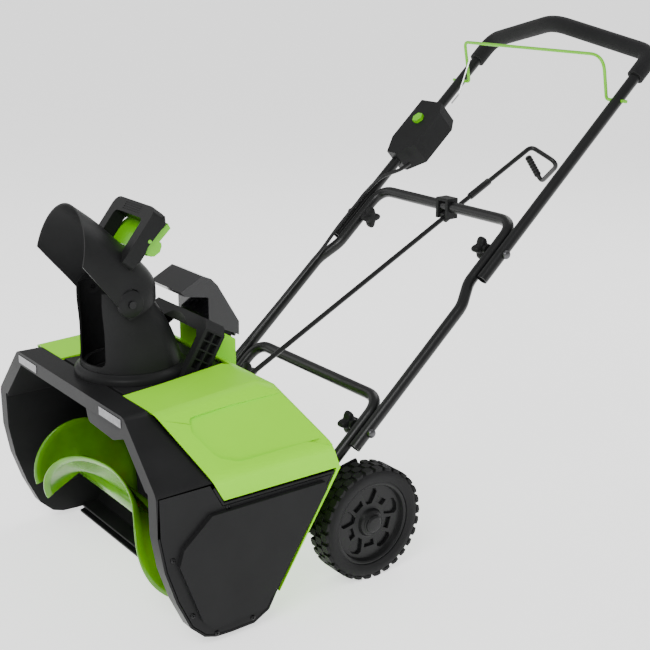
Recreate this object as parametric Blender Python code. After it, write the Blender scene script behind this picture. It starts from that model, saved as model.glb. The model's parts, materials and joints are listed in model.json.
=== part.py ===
"""Single-stage battery snow blower with a rotating chute, a crank rod and a folding handle.

Metres, +Z up. The machine drives towards -Y and +X is the side with the belt cover.
The origin lies on the flat underside of the scraper bar, where the body rests on the ground.
"""

import math

import bmesh
import bpy
from mathutils import Matrix, Vector

# ---------------------------------------------------------------- driving dimensions (metres)
GAP = 0.0004  # between pieces that touch
SKIN = 0.0035  # thickness of the moulded shells

CLEAR_HALF = 0.254  # half of the 20 inch (508 mm) clearing width
BODY_HALF = 0.278  # half of the shell's width
FRONT_Y = -0.178  # plane of the front rim
RIM_DEPTH = 0.006
TOP_HALF = 0.189  # half width of the flat top
TOP_Z = 0.3516  # height of the front rim's top edge
SHOULDER_Z = 0.2606  # where the chamfered shoulder meets the side
MOUTH_TOP_Z = 0.329  # underside of the front rim
HOOD_LOW_Z = 0.2260  # lower edge of the hood on the side
CEILING_Z = 0.338  # underside of the auger chamber's roof

AUGER_Y = -0.070
AUGER_Z = 0.118
AUGER_R = 0.0855
# Degrees that a paddle turns between the middle and its end.
LONG_SWEEP = 255
SHORT_SWEEP = 88
SCROLL_R = 0.1010

MOTOR_Y = 0.078
MOTOR_Z = 0.200

CHUTE_Y = -0.065  # axis that the chute turns about
RING_R = 0.083
RING_Z = 0.3585  # underside of the chute's flange
PIVOT_Y = -0.097  # axis that the deflector tilts about
PIVOT_Z = 0.478

WHEEL_R = 0.096
WHEEL_Y = 0.2247
WHEEL_OUT = 0.2606  # outer face of the tyre
WHEEL_IN = 0.2126

TUBE_R = 0.010
TUBE_WALL = 0.0014
OUTER_X = 0.2054  # outer handle legs
INNER_X = 0.1835  # inner handle legs
LINE_Y = 0.5865  # a point of the handle's straight line
LINE_Z = 0.5345
SLOPE = math.radians(41.8)
LOWER_CROSS_Y = 0.2955
FOLD_Y = 0.5378  # bolt that the upper handle folds about
LOWER_BOLT_Y = 0.2505

ROD_R = 0.0045
ROD_X = 0.008
ROD_TILT = math.radians(26.9)
ROD_REF_Y = 0.5865
ROD_REF_Z = 0.5165

ALONG = Vector((0, math.cos(SLOPE), math.sin(SLOPE)))
NORMAL = Vector((0, -math.sin(SLOPE), math.cos(SLOPE)))
ROD_ALONG = Vector((0, math.cos(ROD_TILT), math.sin(ROD_TILT)))
ROD_UP = Vector((0, -math.sin(ROD_TILT), math.cos(ROD_TILT)))


def on_handle(y, x=0.0, lift=0.0):
    """A point of the handle's straight line at this y, moved along its normal by lift."""
    point = Vector((x, y, LINE_Z + (y - LINE_Y) * math.tan(SLOPE)))
    return point + NORMAL * lift


def on_rod(y, lift=0.0, x=0.0):
    """A point of the crank rod's axis at this y."""
    point = Vector((ROD_X + x, y, ROD_REF_Z + (y - ROD_REF_Y) * math.tan(ROD_TILT)))
    return point + ROD_UP * lift


FOLD = on_handle(FOLD_Y)
LOWER_BOLT = on_handle(LOWER_BOLT_Y)

# ---------------------------------------------------------------- materials
COLOURS = {
    "black_plastic": ((0.035, 0.036, 0.037), 0.45, 0.0),
    "green_plastic": ((0.33, 0.78, 0.03), 0.35, 0.0),
    "auger_green": ((0.20, 0.42, 0.02), 0.45, 0.0),
    "black_tube": ((0.028, 0.029, 0.030), 0.35, 0.3),
    "foam": ((0.030, 0.031, 0.032), 0.85, 0.0),
    "rubber": ((0.022, 0.022, 0.023), 0.8, 0.0),
    "steel": ((0.55, 0.55, 0.56), 0.3, 1.0),
    "clear_lens": ((0.85, 0.88, 0.90), 0.1, 0.0),
    "smoked": ((0.12, 0.12, 0.13), 0.12, 0.0),
    "motor_metal": ((0.30, 0.30, 0.31), 0.4, 0.9),
    "green_paint": ((0.28, 0.66, 0.02), 0.3, 0.0),
}


def material(slot):
    found = bpy.data.materials.get(slot)
    if found:
        return found
    colour, roughness, metallic = COLOURS[slot]
    found = bpy.data.materials.new(slot)
    found.use_nodes = True
    shader = found.node_tree.nodes["Principled BSDF"]
    shader.inputs["Base Color"].default_value = (*colour, 1.0)
    shader.inputs["Roughness"].default_value = roughness
    shader.inputs["Metallic"].default_value = metallic
    return found


# ---------------------------------------------------------------- shape tools
def clear_scene():
    for obj in list(bpy.context.scene.objects):
        bpy.data.objects.remove(obj, do_unlink=True)


def outward(bm):
    """Turns every face of a closed solid outwards."""
    bmesh.ops.recalc_face_normals(bm, faces=bm.faces)
    if bm.calc_volume(signed=True) < 0:
        bmesh.ops.reverse_faces(bm, faces=bm.faces)


def finish_mesh(name, bm, slot, origin=(0, 0, 0), smooth=True):
    """Turns a bmesh in world coordinates into an object with its origin at the given point."""
    bmesh.ops.remove_doubles(bm, verts=bm.verts, dist=1e-6)
    outward(bm)
    origin = Vector(origin)
    bmesh.ops.translate(bm, verts=bm.verts, vec=-origin)
    mesh = bpy.data.meshes.new(name)
    bm.to_mesh(mesh)
    bm.free()
    if smooth:
        mesh.shade_smooth()
        mesh.set_sharp_from_angle(angle=math.radians(35))
    obj = bpy.data.objects.new(name, mesh)
    obj.location = origin
    obj.data.materials.append(material(slot))
    bpy.context.scene.collection.objects.link(obj)
    return obj


def prism(outline, axis, low, high):
    """A closed prism: the outline's two coordinates are the other two axes in X, Y, Z order."""
    bm = bmesh.new()
    order = {"x": (2, 0, 1), "y": (0, 2, 1), "z": (0, 1, 2)}[axis]
    rings = []
    for level in (low, high):
        ring = []
        for first, second in outline:
            values = (first, second, level)
            ring.append(bm.verts.new([values[index] for index in order]))
        rings.append(ring)
    bm.faces.new(rings[0])
    bm.faces.new(rings[1])
    count = len(outline)
    for index in range(count):
        after = (index + 1) % count
        bm.faces.new((rings[0][index], rings[0][after], rings[1][after], rings[1][index]))
    return bm


def plane_prism(outline, base, across, up, low, high):
    """A prism whose outline lies in the plane through base spanned by across and up."""
    across = Vector(across).normalized()
    up = Vector(up).normalized()
    out = across.cross(up)
    bm = prism(outline, "z", low, high)
    place = Matrix((across, up, out)).transposed().to_4x4()
    place.translation = Vector(base)
    bm.transform(place)
    return bm


def box(low, high):
    return prism([(low[0], low[1]), (high[0], low[1]), (high[0], high[1]), (low[0], high[1])],
                 "z", low[2], high[2])


def axis_frame(axis):
    axis = Vector(axis).normalized()
    side = axis.cross(Vector((0, 0, 1)))
    if side.length < 1e-6:
        side = Vector((1, 0, 0))
    side.normalize()
    return side, axis.cross(side).normalized(), axis


def turned(profile, origin, axis, steps=32, closed=False):
    """Turns (radius, along) points about the axis. A closed profile makes a ring."""
    bm = bmesh.new()
    side, up, along = axis_frame(axis)
    origin = Vector(origin)
    rings = []
    for radius, distance in profile:
        centre = origin + along * distance
        if radius < 1e-6:
            rings.append([bm.verts.new(centre)])
            continue
        ring = []
        for step in range(steps):
            angle = 2 * math.pi * step / steps
            ring.append(bm.verts.new(centre + radius * (math.cos(angle) * side + math.sin(angle) * up)))
        rings.append(ring)
    pairs = list(zip(rings, rings[1:]))
    if closed:
        pairs.append((rings[-1], rings[0]))
    for first, second in pairs:
        for step in range(steps):
            after = (step + 1) % steps
            corners = [first[step % len(first)], first[after % len(first)],
                       second[after % len(second)], second[step % len(second)]]
            unique = list(dict.fromkeys(corners))
            if len(unique) > 2:
                bm.faces.new(unique)
    if not closed:
        for ring in (rings[0], rings[-1]):
            if len(ring) > 1:
                bm.faces.new(ring)
    return bm


def rod(start, end, radius, steps=16):
    start = Vector(start)
    length = (Vector(end) - start).length
    return turned([(radius, 0), (radius, length)], start, Vector(end) - start, steps)


def round_corners(points, radii, steps=3):
    """A polyline whose inner corners are replaced by arcs of about the given radius."""
    points = [Vector(point) for point in points]
    path = [points[0]]
    for before, corner, after, radius in zip(points, points[1:], points[2:], radii):
        inward = (before - corner).normalized()
        onward = (after - corner).normalized()
        half = inward.angle(onward) / 2
        back = min(radius / math.tan(half), (before - corner).length * 0.49,
                   (after - corner).length * 0.49)
        start = corner + inward * back
        end = corner + onward * back
        for step in range(steps + 1):
            t = step / steps
            path.append(start * (1 - t) ** 2 + corner * 2 * t * (1 - t) + end * t ** 2)
    path.append(points[-1])
    return path


def sweep(path, radius, inner=None, steps=10):
    """A round bar along the path, or a tube when inner is given."""
    path = [Vector(point) for point in path]
    bm = bmesh.new()
    tangents = []
    for index in range(len(path)):
        before = path[max(index - 1, 0)]
        after = path[min(index + 1, len(path) - 1)]
        tangents.append((after - before).normalized())
    side = axis_frame(tangents[0])[0]
    walls = [radius] if inner is None else [radius, inner]
    shells = [[] for _ in walls]
    for point, tangent in zip(path, tangents):
        side = (side - tangent * side.dot(tangent)).normalized()
        up = tangent.cross(side)
        for shell, wall in zip(shells, walls):
            ring = []
            for step in range(steps):
                angle = 2 * math.pi * (step + 0.5) / steps
                ring.append(bm.verts.new(point + wall * (math.cos(angle) * side + math.sin(angle) * up)))
            shell.append(ring)
    for shell in shells:
        for first, second in zip(shell, shell[1:]):
            for step in range(steps):
                after = (step + 1) % steps
                bm.faces.new((first[step], first[after], second[after], second[step]))
    for end in (0, -1):
        if inner is None:
            bm.faces.new(shells[0][end])
            continue
        for step in range(steps):
            after = (step + 1) % steps
            bm.faces.new((shells[0][end][step], shells[0][end][after],
                          shells[1][end][after], shells[1][end][step]))
    return bm


def helper(obj):
    obj.hide_render = True
    obj.display_type = "WIRE"
    return obj


def apply_boolean(obj, operation, bm, label):
    tool = helper(finish_mesh(f"{obj.name}_{label}", bm, "steel", smooth=False))
    modifier = obj.modifiers.new(label, "BOOLEAN")
    modifier.operation = operation
    modifier.solver = "EXACT"
    modifier.object = tool


def build(name, slot, base, unions=(), cuts=(), origin=(0, 0, 0)):
    """One node: a base solid with others joined to it, and then cutters taken away."""
    obj = finish_mesh(name, base, slot, origin)
    for index, bm in enumerate(unions):
        apply_boolean(obj, "UNION", bm, f"add{index}")
    for index, bm in enumerate(cuts):
        apply_boolean(obj, "DIFFERENCE", bm, f"cut{index}")
    return obj


# ---------------------------------------------------------------- auger housing and hood
def side_outline():
    """Outline (y, z) of a side plate, from the shoulder down the front edge and back up."""
    return [(-0.178, 0.2600), (-0.178, 0.195), (-0.169, 0.140), (-0.1515, 0.0857), (-0.130, 0.0385),
            (-0.1075, 0.0168), (-0.0877, 0.0102), (-0.060, 0.0090), (-0.020, 0.0100),
            (0.0072, 0.0244), (0.0225, 0.0515), (0.1320, HOOD_LOW_Z - 0.0045),
            (-0.0680, HOOD_LOW_Z - 0.0035), (-0.0880, 0.2600)]


def inset(outline, distance):
    """Moves each corner of a counter-clockwise or clockwise outline inwards by the distance."""
    area = sum(a[0] * b[1] - b[0] * a[1] for a, b in zip(outline, outline[1:] + outline[:1]))
    turn = 1 if area > 0 else -1
    moved = []
    for index, corner in enumerate(outline):
        before = Vector(outline[index - 1])
        here = Vector(corner)
        after = Vector(outline[(index + 1) % len(outline)])
        first = (here - before).normalized()
        second = (after - here).normalized()
        normal_a = Vector((-first.y, first.x)) * turn
        normal_b = Vector((-second.y, second.x)) * turn
        middle = (normal_a + normal_b).normalized()
        moved.append(tuple(here + middle * distance / max(middle.dot(normal_a), 0.4)))
    return moved


def arch(half, shoulder_z, top_half, top_z, low_z):
    """Cross-section (x, z) of the body: vertical sides, chamfered shoulders and a flat top."""
    return [(half, low_z), (half, shoulder_z), (top_half, top_z),
            (-top_half, top_z), (-half, shoulder_z), (-half, low_z)]


def parting_wedge(offset, forward):
    """Everything in front of, or behind, the slanted parting plane between rim and hood."""
    slant = 0.549
    high = 0.60
    low = 0.15
    top_y = -0.137 + slant * (TOP_Z - high) + offset
    low_y = -0.137 + slant * (TOP_Z - low) + offset
    far = -0.5 if forward else 0.5
    return prism([(top_y, high), (low_y, low), (far, low), (far, high)], "x", -0.4, 0.4)


def scroll_outline():
    """Curved back wall of the auger chamber with its lip and roof, as one bent sheet (y, z)."""
    steps = 8
    walls = []
    for reach in (SCROLL_R, SCROLL_R + SKIN):
        arc = []
        for step in range(steps + 1):
            angle = math.radians(-45 + 80 * step / steps)
            arc.append((AUGER_Y + reach * math.cos(angle), AUGER_Z + reach * math.sin(angle)))
        walls.append(arc)
    inner = [(-0.050, 0.0128), (-0.020, 0.0133)] + walls[0]
    inner += [(0.0135, 0.260), (0.012, CEILING_Z), (FRONT_Y + 0.002, CEILING_Z)]
    outer = [(-0.050, 0.0090), (-0.0180, 0.0095)] + walls[1]
    outer += [(0.0170, 0.260), (0.0155, CEILING_Z + SKIN), (FRONT_Y + 0.002, CEILING_Z + SKIN)]
    return inner + outer[::-1]


def make_auger_housing():
    scroll = prism(scroll_outline(), "x", -CLEAR_HALF - 0.002, CLEAR_HALF + 0.002)
    outline = side_outline()
    unions = []
    for sign in (-1, 1):
        inner, outer = sorted((sign * CLEAR_HALF, sign * (CLEAR_HALF + SKIN)))
        unions.append(prism(outline, "x", inner, outer))
        rim = sorted((sign * (CLEAR_HALF + 0.001), sign * BODY_HALF))
        ring = prism(outline, "x", *rim)
        hollow = prism(inset(outline, SKIN), "x", *sorted((sign * (CLEAR_HALF + SKIN), sign * 0.30)))
        plate = finish_mesh(f"housing_rim_{'left' if sign < 0 else 'right'}", ring, "black_plastic", smooth=False)
        apply_boolean(helper(plate), "DIFFERENCE", hollow, "hollow")
        unions.append(plate)
    low = 0.2575
    collar = prism(arch(BODY_HALF, SHOULDER_Z, TOP_HALF, TOP_Z, low), "y", FRONT_Y, -0.06)
    inner = arch(BODY_HALF - SKIN, SHOULDER_Z - 0.0015, TOP_HALF - 0.0015, TOP_Z - SKIN, low - 0.01)
    mouth = arch(CLEAR_HALF, 0.2505, 0.1765, MOUTH_TOP_Z, low - 0.01)
    collar_obj = helper(finish_mesh("housing_collar", collar, "black_plastic", smooth=False))
    apply_boolean(collar_obj, "DIFFERENCE", prism(inner, "y", FRONT_Y + RIM_DEPTH, 0.0), "inside")
    apply_boolean(collar_obj, "DIFFERENCE", prism(mouth, "y", FRONT_Y - 0.01, FRONT_Y + 0.02), "mouth")
    apply_boolean(collar_obj, "DIFFERENCE", parting_wedge(0.0, False), "parting")
    unions.append(collar_obj)

    roof = finish_mesh("housing_liner", prism(arch(CLEAR_HALF + SKIN, 0.2520, 0.1780, CEILING_Z + SKIN, 0.20),
                                              "y", FRONT_Y + 0.002, 0.0150), "black_plastic", smooth=False)
    apply_boolean(helper(roof), "DIFFERENCE",
                  prism(arch(CLEAR_HALF - 0.001, 0.2500, 0.1755, CEILING_Z, 0.19), "y", -0.3, 0.3), "inside")
    unions.append(roof)

    obj = finish_mesh("auger_housing", scroll, "black_plastic")
    apply_boolean(obj, "INTERSECT",
                  prism(arch(CLEAR_HALF + 0.002, 0.2515, 0.1776, 0.36, -0.1), "y", -0.3, 0.3), "arch")
    for index, item in enumerate(unions):
        if isinstance(item, bmesh.types.BMesh):
            apply_boolean(obj, "UNION", item, f"add{index}")
            continue
        modifier = obj.modifiers.new(f"add{index}", "BOOLEAN")
        modifier.operation = "UNION"
        modifier.solver = "EXACT"
        modifier.object = item
    cuts = [turned([(0.0715, -0.03), (0.0715, 0.03)], (0, CHUTE_Y, CEILING_Z), (0, 0, 1), 32),
            turned([(0.0894, 0.0), (0.0894, 0.03)], (0, CHUTE_Y, CEILING_Z + SKIN + 0.0002), (0, 0, 1), 32)]
    for sign in (-1, 1):
        cuts.append(rod((sign * 0.245, AUGER_Y, AUGER_Z), (sign * 0.262, AUGER_Y, AUGER_Z), 0.0165, 24))
        cuts.append(box((min(sign * 0.112, sign * 0.182), FRONT_Y - 0.01, 0.3325),
                        (max(sign * 0.112, sign * 0.182), FRONT_Y + 0.02, 0.3465)))
    cuts.append(rod((0.245, MOTOR_Y, MOTOR_Z), (0.262, MOTOR_Y, MOTOR_Z), 0.0105, 24))
    for index, cut in enumerate(cuts):
        apply_boolean(obj, "DIFFERENCE", cut, f"cut{index}")


HOOD_PROFILE = [(-0.30, TOP_Z), (-0.137, TOP_Z), (0.045, 0.3620), (0.075, 0.3520), (0.122, 0.280),
                (0.142, 0.2247), (0.0272, 0.049), (0.0272, 0.0), (-0.30, 0.0)]
DECK = [(-0.107, -0.131), (0.107, -0.131), (0.104, -0.066), (0.0935, 0.037), (0.0900, 0.063),
        (-0.0900, 0.063), (-0.0935, 0.037), (-0.104, -0.066)]
BAY_LOW_X = -0.075
BAY_HIGH_X = 0.020
BAY_FRONT_Y = 0.0660
BAY_REAR_Y = 0.1180
BAY_LOW_Z = 0.292


def make_hood():
    solid = prism(HOOD_PROFILE, "x", -BODY_HALF, BODY_HALF)
    obj = finish_mesh("hood", solid, "green_plastic")
    outer = prism(arch(BODY_HALF, SHOULDER_Z + 0.004, TOP_HALF + 0.004, 0.3660, 0.0), "y", -0.30, 0.2)
    apply_boolean(obj, "INTERSECT", outer, "arch")
    inside = helper(finish_mesh("hood_inside", prism(inset(HOOD_PROFILE, SKIN), "x", -0.5, 0.5),
                                "green_plastic", smooth=False))
    inner = arch(BODY_HALF - SKIN, SHOULDER_Z + 0.0025, TOP_HALF + 0.0025, 0.3625, -0.01)
    apply_boolean(inside, "INTERSECT", prism(inner, "y", -0.40, 0.3), "arch")
    modifier = obj.modifiers.new("hollow", "BOOLEAN")
    modifier.operation = "DIFFERENCE"
    modifier.solver = "EXACT"
    modifier.object = inside
    apply_boolean(obj, "DIFFERENCE", parting_wedge(GAP, True), "parting")
    below_side = prism([(-0.35, -0.10), (0.0220, -0.10), (0.0272 - 0.0045, 0.0435), (0.1347, HOOD_LOW_Z - 0.0030),
                        (0.1347, HOOD_LOW_Z), (-0.35, HOOD_LOW_Z)], "x", -0.4, 0.4)
    apply_boolean(obj, "DIFFERENCE", below_side, "side_edge")
    apply_boolean(obj, "DIFFERENCE", box((-0.4, -0.1, -0.1), (0.4, 0.2, 0.049)), "low_edge")
    opening = inset([(-0.107, -0.160), (0.107, -0.160)] + DECK[1:] + DECK[:1], -0.0006)
    apply_boolean(obj, "DIFFERENCE", prism(opening, "z", 0.30, 0.40), "deck_opening")
    apply_boolean(obj, "UNION", rod(on_rod(0.1192), on_rod(0.150), 0.0135, 20), "rod_boss")
    bay = box((BAY_LOW_X - 0.0006, BAY_FRONT_Y - 0.0006, BAY_LOW_Z - 0.0006), (BAY_HIGH_X + 0.0006, BAY_REAR_Y + 0.0006, 0.45))
    apply_boolean(obj, "DIFFERENCE", bay, "bay_opening")
    hole = on_rod(0.150)
    apply_boolean(obj, "DIFFERENCE", rod(hole - ROD_ALONG * 0.05, hole + ROD_ALONG * 0.05, 0.0075, 16), "rod_hole")


def make_body_panels():
    raised = [(-0.0923, 0.2113), (-0.1402, 0.1709), (-0.1482, 0.1462), (-0.1122, 0.0462), (-0.0942, 0.029),
              (-0.0021, 0.0338), (0.1115, 0.1980), (0.1090, 0.2113)]
    for name, sign, depth in (("belt_cover", 1, 0.0075), ("left_side_cover", -1, 0.0030)):
        flange = inset(side_outline(), SKIN + 0.0012)
        thick = sorted((sign * (BODY_HALF - 0.0025), sign * (BODY_HALF + 0.0002)))
        raise_from = sorted((sign * (BODY_HALF - 0.002), sign * (BODY_HALF + depth)))
        build(name, "black_plastic", prism(flange, "x", *thick), [prism(raised, "x", *raise_from)])

    deck = prism(DECK, "z", CEILING_Z + SKIN + GAP, 0.3508)
    ring = turned([(0.0890, 0.0), (0.0890, 0.0070), (0.0850, 0.0076), (0.0800, 0.0076), (0.0800, 0.0)],
                  (0, CHUTE_Y, 0.3505), (0, 0, 1), 28, closed=True)
    disc = turned([(0.0890, 0.0), (0.0890, 0.0090), (0.0800, 0.0090), (0.0800, 0.0)],
                  (0, CHUTE_Y, CEILING_Z + SKIN + GAP), (0, 0, 1), 28, closed=True)
    build("deck_panel", "black_plastic", deck, [disc, ring],
          [turned([(0.0800, -0.05), (0.0800, 0.05)], (0, CHUTE_Y, 0.35), (0, 0, 1), 28)])

    build("scraper_bar", "black_plastic",
          prism([(-0.0560, 0.0), (0.0080, 0.0), (0.0080, 0.0050), (-0.0400, 0.0085), (-0.0560, 0.0040)],
                "x", -CLEAR_HALF + 0.0015, CLEAR_HALF - 0.0015))

    for side, sign in (("left", -1), ("right", 1)):
        low = min(sign * 0.1125, sign * 0.1815)
        high = max(sign * 0.1125, sign * 0.1815)
        build(f"lamp_{side}", "clear_lens", box((low, FRONT_Y - 0.0008, 0.3330), (high, FRONT_Y + 0.0130, 0.3460)),
              cuts=[box((low + 0.002, FRONT_Y + 0.002, 0.3350), (high - 0.002, FRONT_Y + 0.02, 0.3440))])


CARRY_BASE = Vector((0, -0.023, 0.3512))
CARRY_UP = Vector((0, 0.522, 0.853))


def make_carry_handle():
    """Grip across the machine behind the chute: two leaning legs and a top bar."""
    top = 0.0985
    half = 0.0885
    outer = [(-half, 0.0), (half, 0.0), (half, top - 0.014), (half - 0.014, top),
             (-half + 0.014, top), (-half, top - 0.014)]
    window = [(-0.0735, -0.05), (0.0735, -0.05), (0.0735, top - 0.032), (0.0655, top - 0.022),
              (-0.0655, top - 0.022), (-0.0735, top - 0.032)]
    build("carry_handle", "black_plastic", plane_prism(outer, CARRY_BASE, (1, 0, 0), CARRY_UP, -0.040, 0.0),
          cuts=[plane_prism(window, CARRY_BASE, (1, 0, 0), CARRY_UP, -0.1, 0.05),
                box((-0.2, -0.2, 0.2), (0.2, 0.2, 0.3512)),
                box((-0.2, 0.0600, 0.2), (0.2, 0.2, 0.4000)),
                turned([(RING_R + 0.007, -0.1), (RING_R + 0.007, 0.1)], (0, CHUTE_Y, 0.35), (0, 0, 1), 32)])


# Outline (y, z) of the battery cover's side.
COVER = [(0.0665, 0.4050), (0.0665, 0.4500), (0.0230, 0.4580), (0.0160, 0.4660), (0.0570, 0.4870), (0.0730, 0.4800),
         (0.0850, 0.4670), (0.1240, 0.4000), (0.1235, 0.3765)]
BATTERY_HINGE = Vector((0, 0.1215, 0.3745))


def make_battery():
    walls = [(BAY_LOW_X, BAY_FRONT_Y, BAY_LOW_Z), (BAY_HIGH_X, BAY_REAR_Y, 0.3740)]
    bay = prism([(BAY_FRONT_Y, BAY_LOW_Z), (BAY_REAR_Y, BAY_LOW_Z), (BAY_REAR_Y, 0.3700), (BAY_FRONT_Y, 0.4035)],
                "x", BAY_LOW_X, BAY_HIGH_X)
    wall = 0.003
    build("battery_bay", "green_plastic", bay,
          cuts=[box((walls[0][0] + wall, walls[0][1] + wall, walls[0][2] + wall),
                    (walls[1][0] - wall, walls[1][1] - wall, 0.45))])
    clear = 0.0045
    build("battery_pack", "black_plastic",
          prism([(BAY_FRONT_Y + clear, BAY_LOW_Z + clear), (BAY_REAR_Y - clear, BAY_LOW_Z + clear),
                 (BAY_REAR_Y - clear, 0.4060), (0.1000, 0.4260), (0.0850, 0.4180), (BAY_FRONT_Y + clear, 0.4000)],
                "x", BAY_LOW_X + clear, BAY_HIGH_X - clear))
    cover = prism(COVER, "x", BAY_LOW_X - 0.002, BAY_HIGH_X + 0.002)
    inner = inset(COVER, 0.0025)
    inner[0] = (0.0690, 0.3500)
    inner[-1] = (0.1208, 0.3500)
    knuckle = rod((BAY_LOW_X + 0.010, BATTERY_HINGE.y, BATTERY_HINGE.z),
                  (BAY_HIGH_X - 0.010, BATTERY_HINGE.y, BATTERY_HINGE.z), 0.0032, 12)
    build("battery_cover", "smoked", cover, [knuckle],
          [prism(inner, "x", BAY_LOW_X + 0.0005, BAY_HIGH_X - 0.0005)], origin=BATTERY_HINGE)


# ---------------------------------------------------------------- drive
PULLEY_X = 0.2655


def make_drive():
    hub = rod((-0.2505, AUGER_Y, AUGER_Z), (0.2505, AUGER_Y, AUGER_Z), 0.016, 16)
    paddles = [paddle(120, LONG_SWEEP, SHORT_SWEEP), paddle(300, SHORT_SWEEP, LONG_SWEEP)]
    build("auger", "auger_green", hub, paddles, origin=(0, AUGER_Y, AUGER_Z),
          cuts=[rod((-0.30, AUGER_Y, AUGER_Z), (0.30, AUGER_Y, AUGER_Z), 0.0064, 12)])
    build("auger_shaft", "steel", rod((-0.2600, AUGER_Y, AUGER_Z), (0.2745, AUGER_Y, AUGER_Z), 0.0060, 12),
          origin=(0, AUGER_Y, AUGER_Z))
    for side, sign in (("left", -1), ("right", 1)):
        start = sign * 0.2530
        build(f"auger_bearing_{side}", "steel",
              turned([(0.0064, 0), (0.0160, 0), (0.0160, 0.0055), (0.0064, 0.0055)],
                     (start, AUGER_Y, AUGER_Z), (sign, 0, 0), 24, closed=True))
    build("auger_pulley", "black_plastic",
          turned([(0.0064, -0.006), (0.0520, -0.006), (0.0520, -0.0045), (0.0490, -0.0040), (0.0490, 0.0040),
                  (0.0520, 0.0045), (0.0520, 0.006), (0.0064, 0.006)], (PULLEY_X, AUGER_Y, AUGER_Z), (1, 0, 0), 32,
                 closed=True), origin=(PULLEY_X, AUGER_Y, AUGER_Z))
    build("motor", "motor_metal",
          turned([(0.0, -0.118), (0.0280, -0.118), (0.0320, -0.113), (0.0320, -0.014), (0.0280, -0.010), (0.0100, -0.009),
                  (0.0100, 0.0), (0.0, 0.0)], (0.2530, MOTOR_Y, MOTOR_Z), (1, 0, 0), 24),
          cuts=[rod((0.2450, MOTOR_Y, MOTOR_Z), (0.26, MOTOR_Y, MOTOR_Z), 0.0045, 12)])
    build("motor_pulley", "steel",
          turned([(0.0, -0.0190), (0.0040, -0.0190), (0.0040, -0.006), (0.0150, -0.006), (0.0150, -0.0045),
                  (0.0125, -0.0040), (0.0125, 0.0040), (0.0150, 0.0045), (0.0150, 0.006), (0.0, 0.006)],
                 (PULLEY_X, MOTOR_Y, MOTOR_Z), (1, 0, 0), 20), origin=(PULLEY_X, MOTOR_Y, MOTOR_Z))
    build("drive_belt", "rubber", belt(0.0505, 0.0140, 0.0009))
    build("controller", "black_plastic", box((-0.185, 0.060, 0.170), (-0.095, 0.098, 0.235)))


def paddle_reach(turn):
    """How far from the middle a paddle's rim is, after this many degrees: steep in the middle, a disc at the ends."""
    return 0.23 * (turn / (turn + 40)) ** 0.6


def paddle(middle_angle, right_sweep, left_sweep):
    """One spiral sheet, V-shaped: from its left end up to the middle of the shaft and down to its right end."""
    steps = 18
    half = 0.0013
    inner = 0.012
    stations = [(0.0, 0.0)]
    for step in range(1, steps + 1):
        share = (step / steps) ** 2
        stations.append((paddle_reach(right_sweep * share), right_sweep * share))
        stations.insert(0, (-paddle_reach(left_sweep * share), left_sweep * share))
    bm = bmesh.new()
    spokes = []
    for x, turn in stations:
        angle = math.radians(middle_angle + turn)
        spokes.append((Vector((x, AUGER_Y, AUGER_Z)), Vector((0, math.cos(angle), math.sin(angle)))))
    rim = [centre + radial * AUGER_R for centre, radial in spokes]
    rings = []
    for index, (centre, radial) in enumerate(spokes):
        along = rim[min(index + 1, len(rim) - 1)] - rim[max(index - 1, 0)]
        shift = radial.cross(along).normalized() * half
        rings.append([bm.verts.new(centre + radial * reach + offset)
                      for reach, offset in ((inner, -shift), (AUGER_R, -shift), (AUGER_R, shift), (inner, shift))])
    for first, second in zip(rings, rings[1:]):
        for low, high in ((0, 1), (3, 2), (1, 2), (3, 0)):
            bm.faces.new((first[low], first[high], second[high]))
            bm.faces.new((first[low], second[high], second[low]))
    bm.faces.new(rings[0])
    bm.faces.new(rings[-1])
    return bm


def belt(large, small, half_thick):
    """Flat loop round the two pulleys, as a closed band."""
    big = Vector((AUGER_Y, AUGER_Z))
    tiny = Vector((MOTOR_Y, MOTOR_Z))
    span = tiny - big
    heading = math.atan2(span.y, span.x)
    lean = math.acos((large - small) / span.length)
    loop = []
    for centre, radius, low, high in ((big, large, heading + lean, heading + 2 * math.pi - lean),
                                      (tiny, small, heading - lean, heading + lean)):
        for step in range(25):
            angle = low + (high - low) * step / 24
            loop.append((centre, radius, Vector((math.cos(angle), math.sin(angle)))))
    bm = bmesh.new()
    rings = []
    for centre, radius, outward in loop:
        ring = []
        for level, across in ((-half_thick, -0.0034), (half_thick, -0.0034), (half_thick, 0.0034), (-half_thick, 0.0034)):
            flat = centre + outward * (radius + level)
            ring.append(bm.verts.new((PULLEY_X + across, flat.x, flat.y)))
        rings.append(ring)
    for first, second in zip(rings, rings[1:] + rings[:1]):
        for index in range(4):
            after = (index + 1) % 4
            bm.faces.new((first[index], first[after], second[after], second[index]))
    return bm


# ---------------------------------------------------------------- chute
def ring_loft(levels, wall, steps=24):
    """A round open-ended shell through (centre_y, z, radius) levels."""
    bm = bmesh.new()
    shells = []
    for inwards in (0.0, wall):
        shell = []
        for centre_y, z, radius in levels:
            ring = []
            for step in range(steps):
                angle = 2 * math.pi * step / steps
                ring.append(bm.verts.new(((radius - inwards) * math.sin(angle),
                                          centre_y + (radius - inwards) * math.cos(angle), z)))
            shell.append(ring)
        shells.append(shell)
    for shell in shells:
        for first, second in zip(shell, shell[1:]):
            for step in range(steps):
                after = (step + 1) % steps
                bm.faces.new((first[step], first[after], second[after], second[step]))
    for end in (0, -1):
        for step in range(steps):
            after = (step + 1) % steps
            bm.faces.new((shells[0][end][step], shells[0][end][after], shells[1][end][after], shells[1][end][step]))
    return bm


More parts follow.
